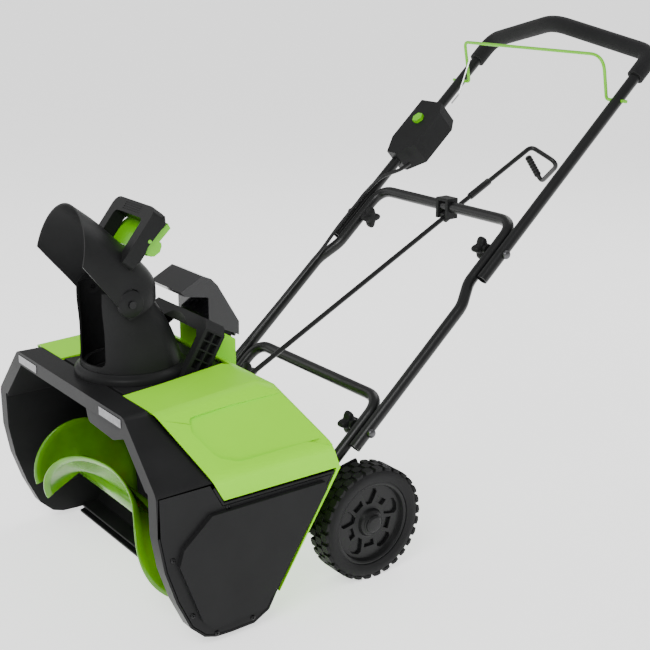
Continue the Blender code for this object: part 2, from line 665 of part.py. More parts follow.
# Stations of the deflector: edge (y, z), spine (y, z), half width.
DEFLECTOR = [((-0.1760, 0.5490), (-0.1550, 0.6270), 0.0810), ((-0.1560, 0.5240), (-0.1190, 0.5980), 0.0785),
             ((-0.1330, 0.4960), (-0.0800, 0.5600), 0.0755), ((-0.1200, 0.4790), (-0.0490, 0.5290), 0.0730),
             ((-0.1080, 0.4620), (-0.0270, 0.5000), 0.0710), ((-0.0990, 0.4530), (-0.0250, 0.4740), 0.0705)]


def half_pipe(grow, wall):
    """The deflector's bent half pipe. A wall of None gives a closed solid."""
    bm = bmesh.new()
    steps = 16
    shells = []
    for inwards in ((0.0,) if wall is None else (0.0, wall)):
        shell = []
        for edge, spine, width in DEFLECTOR:
            low = Vector((0, *edge))
            rise = Vector((0, *spine)) - low
            height = rise.length + grow - inwards
            rise.normalize()
            ring = []
            for step in range(steps + 1):
                angle = math.pi * step / steps
                ring.append(bm.verts.new(low + rise * height * math.sin(angle)
                                         + Vector(((width + grow - inwards) * math.cos(angle), 0, 0))))
            shell.append(ring)
        shells.append(shell)
    for shell in shells:
        for first, second in zip(shell, shell[1:]):
            for step in range(steps):
                bm.faces.new((first[step], first[step + 1], second[step + 1], second[step]))
    if wall is None:
        shell = shells[0]
        for first, second in zip(shell, shell[1:]):
            bm.faces.new((first[0], second[0], second[-1], first[-1]))
        bm.faces.new(shell[0])
        bm.faces.new(shell[-1])
    else:
        for end in (0, -1):
            for step in range(steps):
                bm.faces.new((shells[0][end][step], shells[0][end][step + 1],
                              shells[1][end][step + 1], shells[1][end][step]))
        for edge in (0, -1):
            for index in range(len(DEFLECTOR) - 1):
                bm.faces.new((shells[0][index][edge], shells[0][index + 1][edge],
                              shells[1][index + 1][edge], shells[1][index][edge]))
    return bm


GRIP_BASE = Vector((0, -0.1043, 0.5413))
GRIP_UP = Vector((0, 0.626, 0.780))
GRIP_BACK = Vector((0, 0.780, -0.626))
TRIGGER_AT = GRIP_BASE + GRIP_UP * 0.0555 + GRIP_BACK * 0.0300


def make_chute():
    axis = (0, CHUTE_Y, 0.0)
    flange = turned([(0.0700, 0.0), (RING_R, 0.0), (RING_R, 0.0050), (0.0805, 0.0075), (0.0700, 0.0075)],
                    (0, CHUTE_Y, RING_Z), (0, 0, 1), 28, closed=True)
    collar = turned([(0.0700, -0.0125), (0.0790, -0.0125), (0.0790, 0.001), (0.0700, 0.001)],
                    (0, CHUTE_Y, RING_Z), (0, 0, 1), 28, closed=True)
    build("chute_ring", "black_plastic", flange, [collar], origin=axis)
    gear = turned([(0.0705, 0.0), (0.0705, -0.020), (0.0660, -0.020), (0.0660, 0.0)],
                  (0, CHUTE_Y, RING_Z - 0.0130), (0, 0, 1), 28, closed=True)
    build("chute_gear", "black_plastic", gear, origin=axis)
    tube = ring_loft([(CHUTE_Y, RING_Z + 0.0079, 0.0795), (CHUTE_Y - 0.003, 0.3900, 0.0765), (CHUTE_Y - 0.012, 0.4300, 0.0690),
                      (CHUTE_Y - 0.0265, 0.4700, 0.0600), (CHUTE_Y - 0.0285, 0.4930, 0.0580)], 0.0028)
    slot = [(-0.0440, 0.3830), (-0.0370, 0.3750), (0.0370, 0.3750), (0.0440, 0.3830), (0.0440, 0.60), (-0.0440, 0.60)]
    ears = []
    for sign in (-1, 1):
        ears.append(rod((sign * 0.0560, PIVOT_Y, PIVOT_Z), (sign * 0.0660, PIVOT_Y, PIVOT_Z), 0.0120, 20))
    cuts = [prism(slot, "y", -0.30, CHUTE_Y - 0.010)]
    cuts.append(rod((-0.1, PIVOT_Y, PIVOT_Z), (0.1, PIVOT_Y, PIVOT_Z), 0.0045, 12))
    build("lower_chute", "black_plastic", tube, ears, cuts, origin=axis)

    pivot = (0, PIVOT_Y, PIVOT_Z)
    bosses = []
    holes = [rod((-0.1, PIVOT_Y, PIVOT_Z), (0.1, PIVOT_Y, PIVOT_Z), 0.0045, 12),
             rod((-0.0670, PIVOT_Y, PIVOT_Z), (0.0670, PIVOT_Y, PIVOT_Z), 0.0230, 24)]
    for sign in (-1, 1):
        bosses.append(rod((sign * 0.0675, PIVOT_Y, PIVOT_Z), (sign * 0.0745, PIVOT_Y, PIVOT_Z), 0.0210, 24))
    build("deflector", "black_plastic", half_pipe(0.0, 0.0026), bosses, holes, origin=pivot)
    for side, sign in (("left", -1), ("right", 1)):
        build(f"deflector_pin_{side}", "black_plastic",
              turned([(0.0, 0.0), (0.0041, 0.0), (0.0041, 0.0190), (0.0065, 0.0193), (0.0060, 0.0225), (0.0, 0.0225)],
                     (sign * 0.0555, PIVOT_Y, PIVOT_Z), (sign, 0, 0), 16), origin=pivot)

    outer = rounded_rectangle(-0.0640, 0.0640, -0.0050, 0.0975, 0.014)
    window = rounded_rectangle(-0.0440, 0.0440, -0.0300, 0.0750, 0.008)
    build("deflector_handle", "black_plastic",
          plane_prism(outer, GRIP_BASE, (-1, 0, 0), GRIP_UP, 0.0, 0.022),
          cuts=[plane_prism(window, GRIP_BASE, (-1, 0, 0), GRIP_UP, -0.05, 0.06), half_pipe(GAP, None)],
          origin=pivot)
    profile = [(0.0320, 0.0240), (0.0500, 0.0240), (0.0600, 0.0260), (0.0780, 0.0320), (0.0900, 0.0350), (0.0860, 0.0440),
               (0.0600, 0.0400), (0.0360, 0.0410), (0.0330, 0.0420)]
    lever = [(along, back) for along, back in profile]
    build("deflector_trigger", "green_plastic",
          plane_prism(lever, GRIP_BASE + Vector((-0.0560, 0, 0)), GRIP_UP, GRIP_BACK, -0.112, 0.0),
          origin=TRIGGER_AT)


def rounded_rectangle(left, right, low, high, radius):
    points = []
    for cx, cy, start in ((right - radius, high - radius, 0), (left + radius, high - radius, 90),
                          (left + radius, low + radius, 180), (right - radius, low + radius, 270)):
        for step in range(4):
            angle = math.radians(start + 30 * step)
            points.append((cx + radius * math.cos(angle), cy + radius * math.sin(angle)))
    return points


# ---------------------------------------------------------------- wheels
def make_wheels():
    build("axle", "steel", rod((-0.2520, WHEEL_Y, WHEEL_R), (0.2520, WHEEL_Y, WHEEL_R), 0.0060, 12))
    middle = (WHEEL_IN + WHEEL_OUT) / 2
    half = (WHEEL_OUT - WHEEL_IN) / 2
    for side, sign in (("left", -1), ("right", 1)):
        origin = Vector((sign * middle, WHEEL_Y, WHEEL_R))
        tyre = [(0.0715, -half + 0.004), (0.0880, -half), (0.0940, -half + 0.006), (WHEEL_R, -half + 0.013),
                (WHEEL_R, half - 0.013), (0.0940, half - 0.006), (0.0880, half), (0.0715, half - 0.004)]
        build(f"tyre_{side}", "rubber", turned(tyre, origin, (sign, 0, 0), 28, closed=True), origin=origin)
        rim = [(0.0066, -0.018), (0.0170, -0.018), (0.0170, 0.003), (0.0630, 0.003), (0.0680, -0.016), (0.0710, -0.016),
               (0.0710, 0.017), (0.0650, 0.017), (0.0620, 0.009), (0.0240, 0.010), (0.0200, 0.0180), (0.0066, 0.0180)]
        holes = []
        for index in range(5):
            angle = math.radians(90 + 72 * index)
            radial = Vector((0, math.cos(angle), math.sin(angle)))
            outline = [(-0.006, 0.030), (0.006, 0.030), (0.0150, 0.052), (0.0, 0.0580), (-0.0150, 0.052)]
            across = radial.cross(Vector((1, 0, 0)))
            holes.append(plane_prism(outline, origin, across, radial, -0.05, 0.05))
        cap = turned([(0.0, 0.0), (0.0150, 0.0), (0.0150, 0.0060), (0.0110, 0.0090), (0.0, 0.0090)],
                     (sign * (middle + 0.0170), WHEEL_Y, WHEEL_R), (sign, 0, 0), 20)
        build(f"wheel_rim_{side}", "black_plastic", turned(rim, origin, (sign, 0, 0), 20, closed=True),
              [cap], holes, origin)
        plate = [(0.0600, 0.0960), (0.0720, 0.0800), (0.2170, 0.0830), (0.2260, 0.0825), (0.2350, 0.0880), (0.2390, 0.0970),
                 (0.2440, 0.1650), (0.2350, 0.1880), (0.1700, 0.1750), (0.1080, 0.1660)]
        plane = sorted((sign * 0.1942, sign * 0.1990))
        build(f"wheel_bracket_{side}", "black_tube", prism(plate, "x", *plane),
              cuts=[rod((sign * 0.15, WHEEL_Y, WHEEL_R), (sign * 0.25, WHEEL_Y, WHEEL_R), 0.0064, 12)])


# ---------------------------------------------------------------- handle
def bolt_hole(at, sign):
    return rod((sign * 0.15, at.y, at.z), (sign * 0.24, at.y, at.z), 0.0036, 12)


def make_handle_tubes():
    lower_end = 0.118
    corners = []
    for sign in (-1, 1):
        corners.append([on_handle(lower_end, sign * INNER_X), on_handle(LOWER_CROSS_Y, sign * INNER_X)])
    path = round_corners([corners[0][0], corners[0][1], corners[1][1], corners[1][0]], (0.034, 0.034))
    build("lower_handle", "black_tube", sweep(path, TUBE_R, TUBE_R - TUBE_WALL),
          cuts=[bolt_hole(LOWER_BOLT, -1), bolt_hole(LOWER_BOLT, 1)])

    half = []
    for sign in (-1, 1):
        half.append([on_handle(0.2247, sign * OUTER_X), on_handle(0.4500, sign * OUTER_X),
                     on_handle(0.4840, sign * INNER_X), on_handle(LINE_Y, sign * INNER_X)])
    path = round_corners(half[0] + half[1][::-1], (0.05, 0.05, 0.034, 0.034, 0.05, 0.05))
    build("mid_handle", "black_tube", sweep(path, TUBE_R, TUBE_R - TUBE_WALL),
          cuts=[bolt_hole(LOWER_BOLT, -1), bolt_hole(LOWER_BOLT, 1), bolt_hole(FOLD, -1), bolt_hole(FOLD, 1)])

    left = [on_handle(0.4935, -OUTER_X), on_handle(0.8480, -OUTER_X)]
    right = [on_handle(0.8480, OUTER_X), on_handle(0.4935, OUTER_X)]
    bend = [Vector((-0.2054, 0.8900, 0.8060)), Vector((0.0, 0.8500, 0.8530)), Vector((0.2054, 0.8900, 0.8060))]
    path = round_corners([left[0], left[1]] + bend + [right[0], right[1]], (0.3, 0.045, 0.10, 0.045, 0.3), 4)
    bail_hole = rod((-0.23, BAIL.y, BAIL.z), (0.23, BAIL.y, BAIL.z), 0.0034, 12)
    build("upper_handle", "black_tube", sweep(path, TUBE_R, TUBE_R - TUBE_WALL),
          cuts=[bolt_hole(FOLD, -1), bolt_hole(FOLD, 1), bail_hole], origin=FOLD)
    start = next(index for index, point in enumerate(path) if point.y > 0.846)
    end = next(index for index in range(len(path) - 1, 0, -1) if path[index].y > 0.846)
    build("foam_grip", "foam", sweep(path[start:end + 1], 0.0155, TUBE_R + GAP), origin=FOLD)


BAIL = on_handle(0.8050)


def make_bolts_and_knobs():
    for level, at in (("upper", FOLD), ("lower", LOWER_BOLT)):
        for side, sign in (("left", -1), ("right", 1)):
            build(f"bolt_{level}_{side}", "black_tube",
                  turned([(0.0, 0.0), (0.0033, 0.0), (0.0033, 0.0540), (0.0075, 0.0542), (0.0070, 0.0585), (0.0, 0.0600)],
                         (sign * 0.1620, at.y, at.z), (sign, 0, 0), 16), origin=(sign * OUTER_X, at.y, at.z))
            build(f"knob_{level}_{side}", "black_plastic", star_knob(at, sign),
                  origin=(sign * 0.158, at.y, at.z),
                  cuts=[rod((sign * 0.1600, at.y, at.z), (sign * 0.2, at.y, at.z), 0.0037, 12)])


def star_knob(at, sign):
    """Four-lobed clamping knob, inboard of the inner leg."""
    bm = bmesh.new()
    lobes = 4
    steps = 24
    layers = ((0.1725, 0.30, 0.009), (0.1660, 0.30, 0.009), (0.1640, 1.0, 0.0), (0.1500, 1.0, 0.0), (0.1470, 0.85, 0.0))
    rings = []
    for x, reach, fixed in layers:
        ring = []
        for step in range(steps):
            angle = 2 * math.pi * step / steps
            lobe = 0.0165 + 0.0045 * math.cos(lobes * angle)
            radius = fixed if fixed else lobe * reach
            ring.append(bm.verts.new((sign * x, at.y + radius * math.cos(angle), at.z + radius * math.sin(angle))))
        rings.append(ring)
    for first, second in zip(rings, rings[1:]):
        for step in range(steps):
            after = (step + 1) % steps
            bm.faces.new((first[step], first[after], second[after], second[step]))
    bm.faces.new(rings[0])
    bm.faces.new(rings[-1])
    return bm


BOX_Y = 0.7000
PULL_X = -0.1720
PULL_LOW = on_handle(0.7660, PULL_X, 0.006)
PULL_HIGH = Vector((PULL_X, 0.7985, 0.7780))


def make_controls():
    centre = on_handle(BOX_Y, -OUTER_X)
    outline = [(-0.030, 0.060), (-0.030, -0.040), (-0.012, -0.078), (0.012, -0.078), (0.046, -0.050), (0.046, 0.036),
               (0.030, 0.060)]
    base = plane_prism(outline, centre, (1, 0, 0), ALONG, -0.026, 0.024)
    button_at = centre + ALONG * 0.012 + NORMAL * 0.024 + Vector((0.004, 0, 0))
    build("switch_box", "black_plastic", base,
          cuts=[rod(centre - ALONG * 0.1, centre + ALONG * 0.1, TUBE_R + GAP, 16),
                rod(button_at - NORMAL * 0.008, button_at + NORMAL * 0.01, 0.0125, 6),
                rod(PULL_LOW - ALONG * 0.02, PULL_LOW + ALONG * 0.02, 0.0042, 12)], origin=FOLD)
    build("power_button", "green_plastic", rod(button_at - NORMAL * 0.0030, button_at + NORMAL * 0.0065, 0.0118, 6),
          origin=button_at)
    wire = round_corners([PULL_LOW - ALONG * 0.012, PULL_LOW + ALONG * 0.012, PULL_HIGH], (0.01,), 3)
    build("pull_wire", "steel", sweep(wire, 0.0016, steps=8), origin=PULL_LOW)

    arm_x = 0.1800
    tip_x = 0.2260
    top = Vector((0, 0.7900, 0.8080))
    path = [Vector((-tip_x, BAIL.y, BAIL.z)), Vector((-arm_x, BAIL.y, BAIL.z)), Vector((-arm_x, top.y, top.z)),
            Vector((arm_x, top.y, top.z)), Vector((arm_x, BAIL.y, BAIL.z)), Vector((tip_x, BAIL.y, BAIL.z))]
    build("bail", "green_paint", sweep(round_corners(path, (0.006, 0.010, 0.030, 0.006), 4), 0.0030, steps=10),
          origin=(0, BAIL.y, BAIL.z))


CABLE_R = 0.0034


def make_cables():
    """Power cable from the switch box down the left tube to the body, in two stretches."""
    beside = -0.1945
    upper = [on_handle(0.6430, -0.1700, -0.004), on_handle(0.6250, -0.1720, 0.004), on_handle(0.6000, -0.1860, 0.0165),
             on_handle(0.5750, beside, 0.0180)]
    lower = [on_handle(0.5230, beside, 0.0180), on_handle(0.5000, beside, 0.0180),
             on_handle(0.4600, -0.1900, 0.0180), on_handle(0.4200, -0.1880, 0.0200), on_handle(0.3600, -0.1860, 0.0220),
             on_handle(0.3100, -0.1820, 0.0260), on_handle(0.2600, -0.1740, 0.0330), Vector((-0.1640, 0.2150, 0.2560)),
             Vector((-0.1560, 0.1850, 0.2490)), Vector((-0.1540, 0.1545, 0.2480))]
    for name, route in (("cable_upper", upper), ("cable_lower", lower)):
        build(name, "rubber", sweep(smooth_route(route, 4), CABLE_R, steps=8),
              origin=FOLD if name == "cable_upper" else (0, 0, 0))
    build("cable_gland", "black_plastic",
          turned([(0.0, 0.0), (0.0085, 0.0), (0.0085, 0.006), (0.0050, 0.018), (0.0, 0.018)],
                 (-0.1540, 0.1373, 0.2480), (0, 1, 0), 16),
          cuts=[rod((-0.1540, 0.1536, 0.2480), (-0.1540, 0.17, 0.2480), 0.0040, 12)])


def smooth_route(points, steps):
    """A Catmull-Rom curve through the points."""
    padded = [points[0] * 2 - points[1]] + list(points) + [points[-1] * 2 - points[-2]]
    path = []
    for a, b, c, d in zip(padded, padded[1:], padded[2:], padded[3:]):
        for step in range(steps):
            t = step / steps
            path.append(0.5 * (2 * b + (c - a) * t + (2 * a - 5 * b + 4 * c - d) * t ** 2
                               + (3 * b - a - 3 * c + d) * t ** 3))
    path.append(points[-1])
    return path


# ---------------------------------------------------------------- crank
def make_crank():
    inside = 0.0700
    bend_y = 0.7980
    start = on_rod(inside)
    bend = on_rod(bend_y)
    loop = [bend, bend + Vector((0.060, 0, 0)) - ROD_UP * 0.030, bend + Vector((-0.004, 0, 0)) - ROD_UP * 0.081,
            bend + Vector((-0.020, 0, 0)) - ROD_UP * 0.025]
    path = round_corners([start] + loop, (0.012, 0.014, 0.008), 4)
    origin = on_rod(ROD_REF_Y)
    sleeve = rod(on_rod(0.6430), on_rod(0.6900), 0.0066, 12)
    build("crank_rod", "black_tube", sweep(path, ROD_R, steps=10), [sleeve], origin=origin)
    build("crank_grip", "black_plastic",
          turned([(ROD_R + GAP, 0.0), (0.0068, 0.0), (0.0068, 0.042), (ROD_R + GAP, 0.042)],
                 loop[2] + (loop[3] - loop[2]).normalized() * 0.0145, loop[3] - loop[2], 12, closed=True), origin=origin)
    guide_at = on_rod(ROD_REF_Y)
    saddle = turned([(0.0056, -0.008), (0.0100, -0.008), (0.0100, 0.008), (0.0056, 0.008)],
                    guide_at, ROD_ALONG, 20, closed=True)
    web = [box((ROD_X - 0.016, LINE_Y - 0.0125, LINE_Z + TUBE_R + GAP), (ROD_X + 0.016, LINE_Y + 0.0125, LINE_Z + TUBE_R + 0.006))]
    for sign in (-1, 1):
        low = min(ROD_X + sign * 0.0095, ROD_X + sign * 0.0160)
        high = max(ROD_X + sign * 0.0095, ROD_X + sign * 0.0160)
        web.append(box((low, LINE_Y - 0.0125, guide_at.z - 0.004), (high, LINE_Y + 0.0125, LINE_Z + TUBE_R + 0.005)))
    bar = rod((-0.1, LINE_Y, LINE_Z), (0.1, LINE_Y, LINE_Z), TUBE_R + GAP, 24)
    build("rod_guide", "black_plastic", saddle, web, [bar, rod(on_rod(0.55), on_rod(0.62), ROD_R + 0.0010, 16)])
    build("worm_pinion", "black_plastic",
          turned([(ROD_R + GAP, 0.0), (0.0150, 0.0), (0.0150, 0.0120), (ROD_R + GAP, 0.0120)], on_rod(0.0720), ROD_ALONG,
                 20, closed=True), origin=origin)


def main():
    clear_scene()
    make_auger_housing()
    make_hood()
    make_body_panels()
    make_carry_handle()
    make_battery()
    make_drive()
    make_chute()
    make_wheels()
    make_handle_tubes()
    make_bolts_and_knobs()
    make_controls()
    make_cables()
    make_crank()


main()
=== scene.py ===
"""Visual model of the snow blower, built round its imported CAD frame."""

import json
import math

import bmesh
import bpy
from mathutils import Matrix, Vector


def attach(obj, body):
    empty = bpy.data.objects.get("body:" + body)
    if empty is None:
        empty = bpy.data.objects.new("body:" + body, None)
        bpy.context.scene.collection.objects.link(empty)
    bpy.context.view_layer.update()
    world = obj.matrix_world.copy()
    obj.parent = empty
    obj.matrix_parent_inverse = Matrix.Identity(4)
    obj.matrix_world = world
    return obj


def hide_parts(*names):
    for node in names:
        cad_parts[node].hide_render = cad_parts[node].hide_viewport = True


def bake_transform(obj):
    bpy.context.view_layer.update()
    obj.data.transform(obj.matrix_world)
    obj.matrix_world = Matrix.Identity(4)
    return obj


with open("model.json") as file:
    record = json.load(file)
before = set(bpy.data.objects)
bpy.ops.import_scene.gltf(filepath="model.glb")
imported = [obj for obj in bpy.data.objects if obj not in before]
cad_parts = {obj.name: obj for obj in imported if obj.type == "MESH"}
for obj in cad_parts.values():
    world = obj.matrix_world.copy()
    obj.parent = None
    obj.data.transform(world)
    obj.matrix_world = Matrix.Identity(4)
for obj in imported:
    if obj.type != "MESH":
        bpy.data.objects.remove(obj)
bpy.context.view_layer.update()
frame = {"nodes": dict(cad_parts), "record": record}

# ---------------------------------------------------------------- camera
CAMERA_PLACE = (1.6896, -0.9184, 0.9981)
CAMERA_AZIMUTH = 53.86
CAMERA_PITCH = 17.14
camera_data = bpy.data.cameras.new("camera")
camera_data.lens = 68.84
camera_data.sensor_width = 36.0
camera = bpy.data.objects.new("camera", camera_data)
camera.location = CAMERA_PLACE
camera.rotation_euler = (math.radians(90 - CAMERA_PITCH), 0, math.radians(CAMERA_AZIMUTH))
bpy.context.scene.collection.objects.link(camera)
bpy.context.scene.camera = camera

# ---------------------------------------------------------------- dimensions shared with the CAD (metres)
AUGER_Y, AUGER_Z, AUGER_R = -0.070, 0.118, 0.0855
LONG_SWEEP, SHORT_SWEEP = 255, 88                       # degrees a paddle turns through on each side
PADDLE_SPAN, PADDLE_EASE, PADDLE_POWER = 0.23, 40, 0.6  # metres, degrees, and the curve between them
PIVOT_HOLE_R = 0.0045
CHUTE_Y, RING_R, RING_Z = -0.065, 0.083, 0.3585
PIVOT_Y, PIVOT_Z = -0.097, 0.478
WHEEL_R, WHEEL_Y, WHEEL_OUT, WHEEL_IN = 0.096, 0.2247, 0.2606, 0.2126
TUBE_R, TUBE_WALL = 0.010, 0.0014
FOAM_R, FOAM_END_R = 0.0155, 0.0138
KNOB_X = 0.1640
OUTER_X, INNER_X = 0.2054, 0.1835
LINE_Y, LINE_Z = 0.5865, 0.5345
SLOPE = math.radians(41.8)
ROD_R, ROD_X, ROD_TILT, ROD_REF_Z = 0.0045, 0.008, math.radians(26.9), 0.5165
FRONT_Y, BODY_HALF = -0.178, 0.278
X = Vector((1, 0, 0))
ALONG = Vector((0, math.cos(SLOPE), math.sin(SLOPE)))
NORMAL = Vector((0, -math.sin(SLOPE), math.cos(SLOPE)))
ROD_ALONG = Vector((0, math.cos(ROD_TILT), math.sin(ROD_TILT)))
ROD_UP = Vector((0, -math.sin(ROD_TILT), math.cos(ROD_TILT)))


def on_handle(y, x=0.0, lift=0.0):
    return Vector((x, y, LINE_Z + (y - LINE_Y) * math.tan(SLOPE))) + NORMAL * lift


def on_rod(y, lift=0.0, x=0.0):
    return Vector((ROD_X + x, y, ROD_REF_Z + (y - LINE_Y) * math.tan(ROD_TILT))) + ROD_UP * lift


FOLD = on_handle(0.5378)
LOWER_BOLT = on_handle(0.2505)
BAIL = on_handle(0.8050)


# ---------------------------------------------------------------- materials
def surface(name, colour, roughness=0.45, grain=1400.0, bump=0.03, metallic=0.0, vary=0.12, blotch=14.0,
            scuff=0.06, coat=0.0, sheen=0.0, transmission=0.0, subsurface=0.0, detail=3.0, specular=0.4):
    """Moulded or painted surface: mottled colour, uneven roughness and a fine grain."""
    mat = bpy.data.materials.new(name)
    mat.use_nodes = True
    nodes, links = mat.node_tree.nodes, mat.node_tree.links
    shader = nodes["Principled BSDF"]
    shader.inputs["Metallic"].default_value = metallic
    shader.inputs["Coat Weight"].default_value = coat
    shader.inputs["Coat Roughness"].default_value = 0.12
    shader.inputs["Sheen Weight"].default_value = sheen
    shader.inputs["Transmission Weight"].default_value = transmission
    shader.inputs["Subsurface Weight"].default_value = subsurface
    shader.inputs["Subsurface Scale"].default_value = 0.01
    shader.inputs["Specular IOR Level"].default_value = specular
    coordinates = nodes.new("ShaderNodeTexCoord")
    large = nodes.new("ShaderNodeTexNoise")
    large.inputs["Scale"].default_value = blotch
    large.inputs["Detail"].default_value = 6.0
    links.new(coordinates.outputs["Object"], large.inputs["Vector"])
    ramp = nodes.new("ShaderNodeValToRGB")
    ramp.color_ramp.elements[0].position = 0.3
    ramp.color_ramp.elements[1].position = 0.7
    ramp.color_ramp.elements[0].color = (*[channel * (1 - vary) for channel in colour], 1)
    ramp.color_ramp.elements[1].color = (*[min(channel * (1 + vary), 1) for channel in colour], 1)
    links.new(large.outputs["Fac"], ramp.inputs["Fac"])
    links.new(ramp.outputs["Color"], shader.inputs["Base Color"])
    fine = nodes.new("ShaderNodeTexNoise")
    fine.inputs["Scale"].default_value = grain
    fine.inputs["Detail"].default_value = detail
    links.new(coordinates.outputs["Object"], fine.inputs["Vector"])
    spread = nodes.new("ShaderNodeMapRange")
    spread.inputs["To Min"].default_value = max(roughness - scuff, 0.02)
    spread.inputs["To Max"].default_value = min(roughness + scuff, 1.0)
    links.new(large.outputs["Fac"], spread.inputs["Value"])
    links.new(spread.outputs["Result"], shader.inputs["Roughness"])
    relief = nodes.new("ShaderNodeBump")
    relief.inputs["Strength"].default_value = bump
    relief.inputs["Distance"].default_value = 0.001
    links.new(fine.outputs["Fac"], relief.inputs["Height"])
    links.new(relief.outputs["Normal"], shader.inputs["Normal"])
    return mat


def brushed(name, colour, roughness, axis):
    """Metal with fine lines along one axis."""
    mat = surface(name, colour, roughness, metallic=1.0, vary=0.06)
    nodes, links = mat.node_tree.nodes, mat.node_tree.links
    stretch = nodes.new("ShaderNodeMapping")
    stretch.inputs["Scale"].default_value = axis
    coordinates = next(node for node in nodes if node.type == "TEX_COORD")
    fine = next(node for node in nodes
                if node.type == "TEX_NOISE" and node.inputs["Scale"].default_value > 1000)
    links.new(coordinates.outputs["Object"], stretch.inputs["Vector"])
    links.new(stretch.outputs["Vector"], fine.inputs["Vector"])
    return mat


BLACK = surface("black_plastic_vis", (0.0150, 0.0152, 0.0156), 0.38, bump=0.09, scuff=0.07, specular=0.08)
BLACK_SMOOTH = surface("black_smooth_vis", (0.0080, 0.0082, 0.0086), 0.24, grain=900, bump=0.03, scuff=0.05,
                       specular=0.2)
HOOD_GREEN = surface("hood_green_vis", (0.300, 0.860, 0.0), 0.36, grain=700, bump=0.02, vary=0.03, blotch=6,
                     specular=0.12)
AUGER_GREEN = surface("auger_green_vis", (0.095, 0.300, 0.0), 0.24, grain=300, bump=0.05, vary=0.18,
                      blotch=22, coat=0.25, subsurface=0.12)
GREEN_PART = surface("green_part_vis", (0.150, 0.560, 0.0), 0.30, grain=900, bump=0.03, vary=0.05,
                     coat=0.15)
TUBE = surface("tube_vis", (0.0085, 0.0087, 0.0090), 0.30, grain=2200, bump=0.08, vary=0.15, scuff=0.05,
               specular=0.3)
FOAM = surface("foam_vis", (0.012, 0.012, 0.0125), 0.80, grain=3200, bump=0.35, vary=0.2, sheen=0.05,
               detail=5, specular=0.15)
TYRE = surface("tyre_vis", (0.0105, 0.0105, 0.0110), 0.60, grain=1800, bump=0.18, vary=0.25, scuff=0.1,
               specular=0.15)
RIM = surface("rim_vis", (0.0105, 0.0107, 0.0110), 0.34, bump=0.08, specular=0.18)
CABLE = surface("cable_vis", (0.0075, 0.0075, 0.0080), 0.42, grain=2500, bump=0.08)
STEEL = brushed("steel_vis", (0.62, 0.62, 0.63), 0.26, (0.05, 1, 1))
DARK_STEEL = surface("dark_steel_vis", (0.10, 0.10, 0.105), 0.35, metallic=0.9, bump=0.05)
SMOKED = surface("smoked_vis", (0.020, 0.020, 0.023), 0.12, grain=500, bump=0.01, transmission=0.55,
                 specular=0.3)
LENS = surface("lens_vis", (0.13, 0.13, 0.14), 0.16, grain=250, bump=0.10, metallic=0.7, vary=0.35,
               blotch=160, coat=0.6)


# ---------------------------------------------------------------- shape tools
WELD_GAP = 2e-5                  # points this near, in metres, are one point
FLAT_ANGLE = math.radians(1.5)   # faces this near to level are one face


def prism(outline, axis, low, high):
    """A closed prism: the outline's two coordinates are the other two axes in X, Y, Z order."""
    bm = bmesh.new()
    order = {"x": (2, 0, 1), "y": (0, 2, 1), "z": (0, 1, 2)}[axis]
    rings = []
    for level in (low, high):
        ring = []
        for first, second in outline:
            values = (first, second, level)
            ring.append(bm.verts.new([values[index] for index in order]))
        rings.append(ring)
    bm.faces.new(rings[0])
    bm.faces.new(rings[1])
    for index in range(len(outline)):
        after = (index + 1) % len(outline)
        bm.faces.new((rings[0][index], rings[0][after], rings[1][after], rings[1][index]))
    return bm


def plane_prism(outline, base, across, up, low, high):
    across, up = Vector(across).normalized(), Vector(up).normalized()
    bm = prism(outline, "z", low, high)
    place = Matrix((across, up, across.cross(up))).transposed().to_4x4()
    place.translation = Vector(base)
    bm.transform(place)
    return bm


def box(low, high):
    return prism([(low[0], low[1]), (high[0], low[1]), (high[0], high[1]), (low[0], high[1])], "z", low[2],
                 high[2])


def axis_frame(axis):
    axis = Vector(axis).normalized()
    side = axis.cross(Vector((0, 0, 1)))
    if side.length < 1e-6:
        side = Vector((1, 0, 0))
    side.normalize()
    return side, axis.cross(side).normalized(), axis


def turned(profile, origin, axis, steps=48, closed=False, lobes=0, lobe_depth=0.0):
    """Turns (radius, along) points about the axis. Lobes make a waved outline."""
    bm = bmesh.new()
    side, up, along = axis_frame(axis)
    rings = []
    for radius, distance in profile:
        centre = Vector(origin) + along * distance
        if radius < 1e-6:
            rings.append([bm.verts.new(centre)])
            continue
        ring = []
        for step in range(steps):
            angle = 2 * math.pi * step / steps
            reach = radius * (1 + lobe_depth * math.cos(lobes * angle)) if lobes else radius
            ring.append(bm.verts.new(centre + reach * (math.cos(angle) * side + math.sin(angle) * up)))
        rings.append(ring)
    pairs = list(zip(rings, rings[1:]))
    if closed:
        pairs.append((rings[-1], rings[0]))
    for first, second in pairs:
        for step in range(steps):
            after = (step + 1) % steps
            corners = list(dict.fromkeys([first[step % len(first)], first[after % len(first)],
                                          second[after % len(second)], second[step % len(second)]]))
            if len(corners) > 2:
                bm.faces.new(corners)
    if not closed:
        for ring in (rings[0], rings[-1]):
            if len(ring) > 1:
                bm.faces.new(ring)
    return bm


def rod(start, end, radius, steps=24):
    length = (Vector(end) - Vector(start)).length
    return turned([(radius, 0), (radius, length)], start, Vector(end) - Vector(start), steps)


def round_corners(points, radii, steps=8):
    points = [Vector(point) for point in points]
    path = [points[0]]
    for before, corner, after, radius in zip(points, points[1:], points[2:], radii):
        inward, onward = (before - corner).normalized(), (after - corner).normalized()
        half = inward.angle(onward) / 2
        back = min(radius / math.tan(half), (before - corner).length * 0.49, (after - corner).length * 0.49)
        start, end = corner + inward * back, corner + onward * back
        for step in range(steps + 1):
            t = step / steps
            path.append(start * (1 - t) ** 2 + corner * 2 * t * (1 - t) + end * t ** 2)
    path.append(points[-1])
    return path


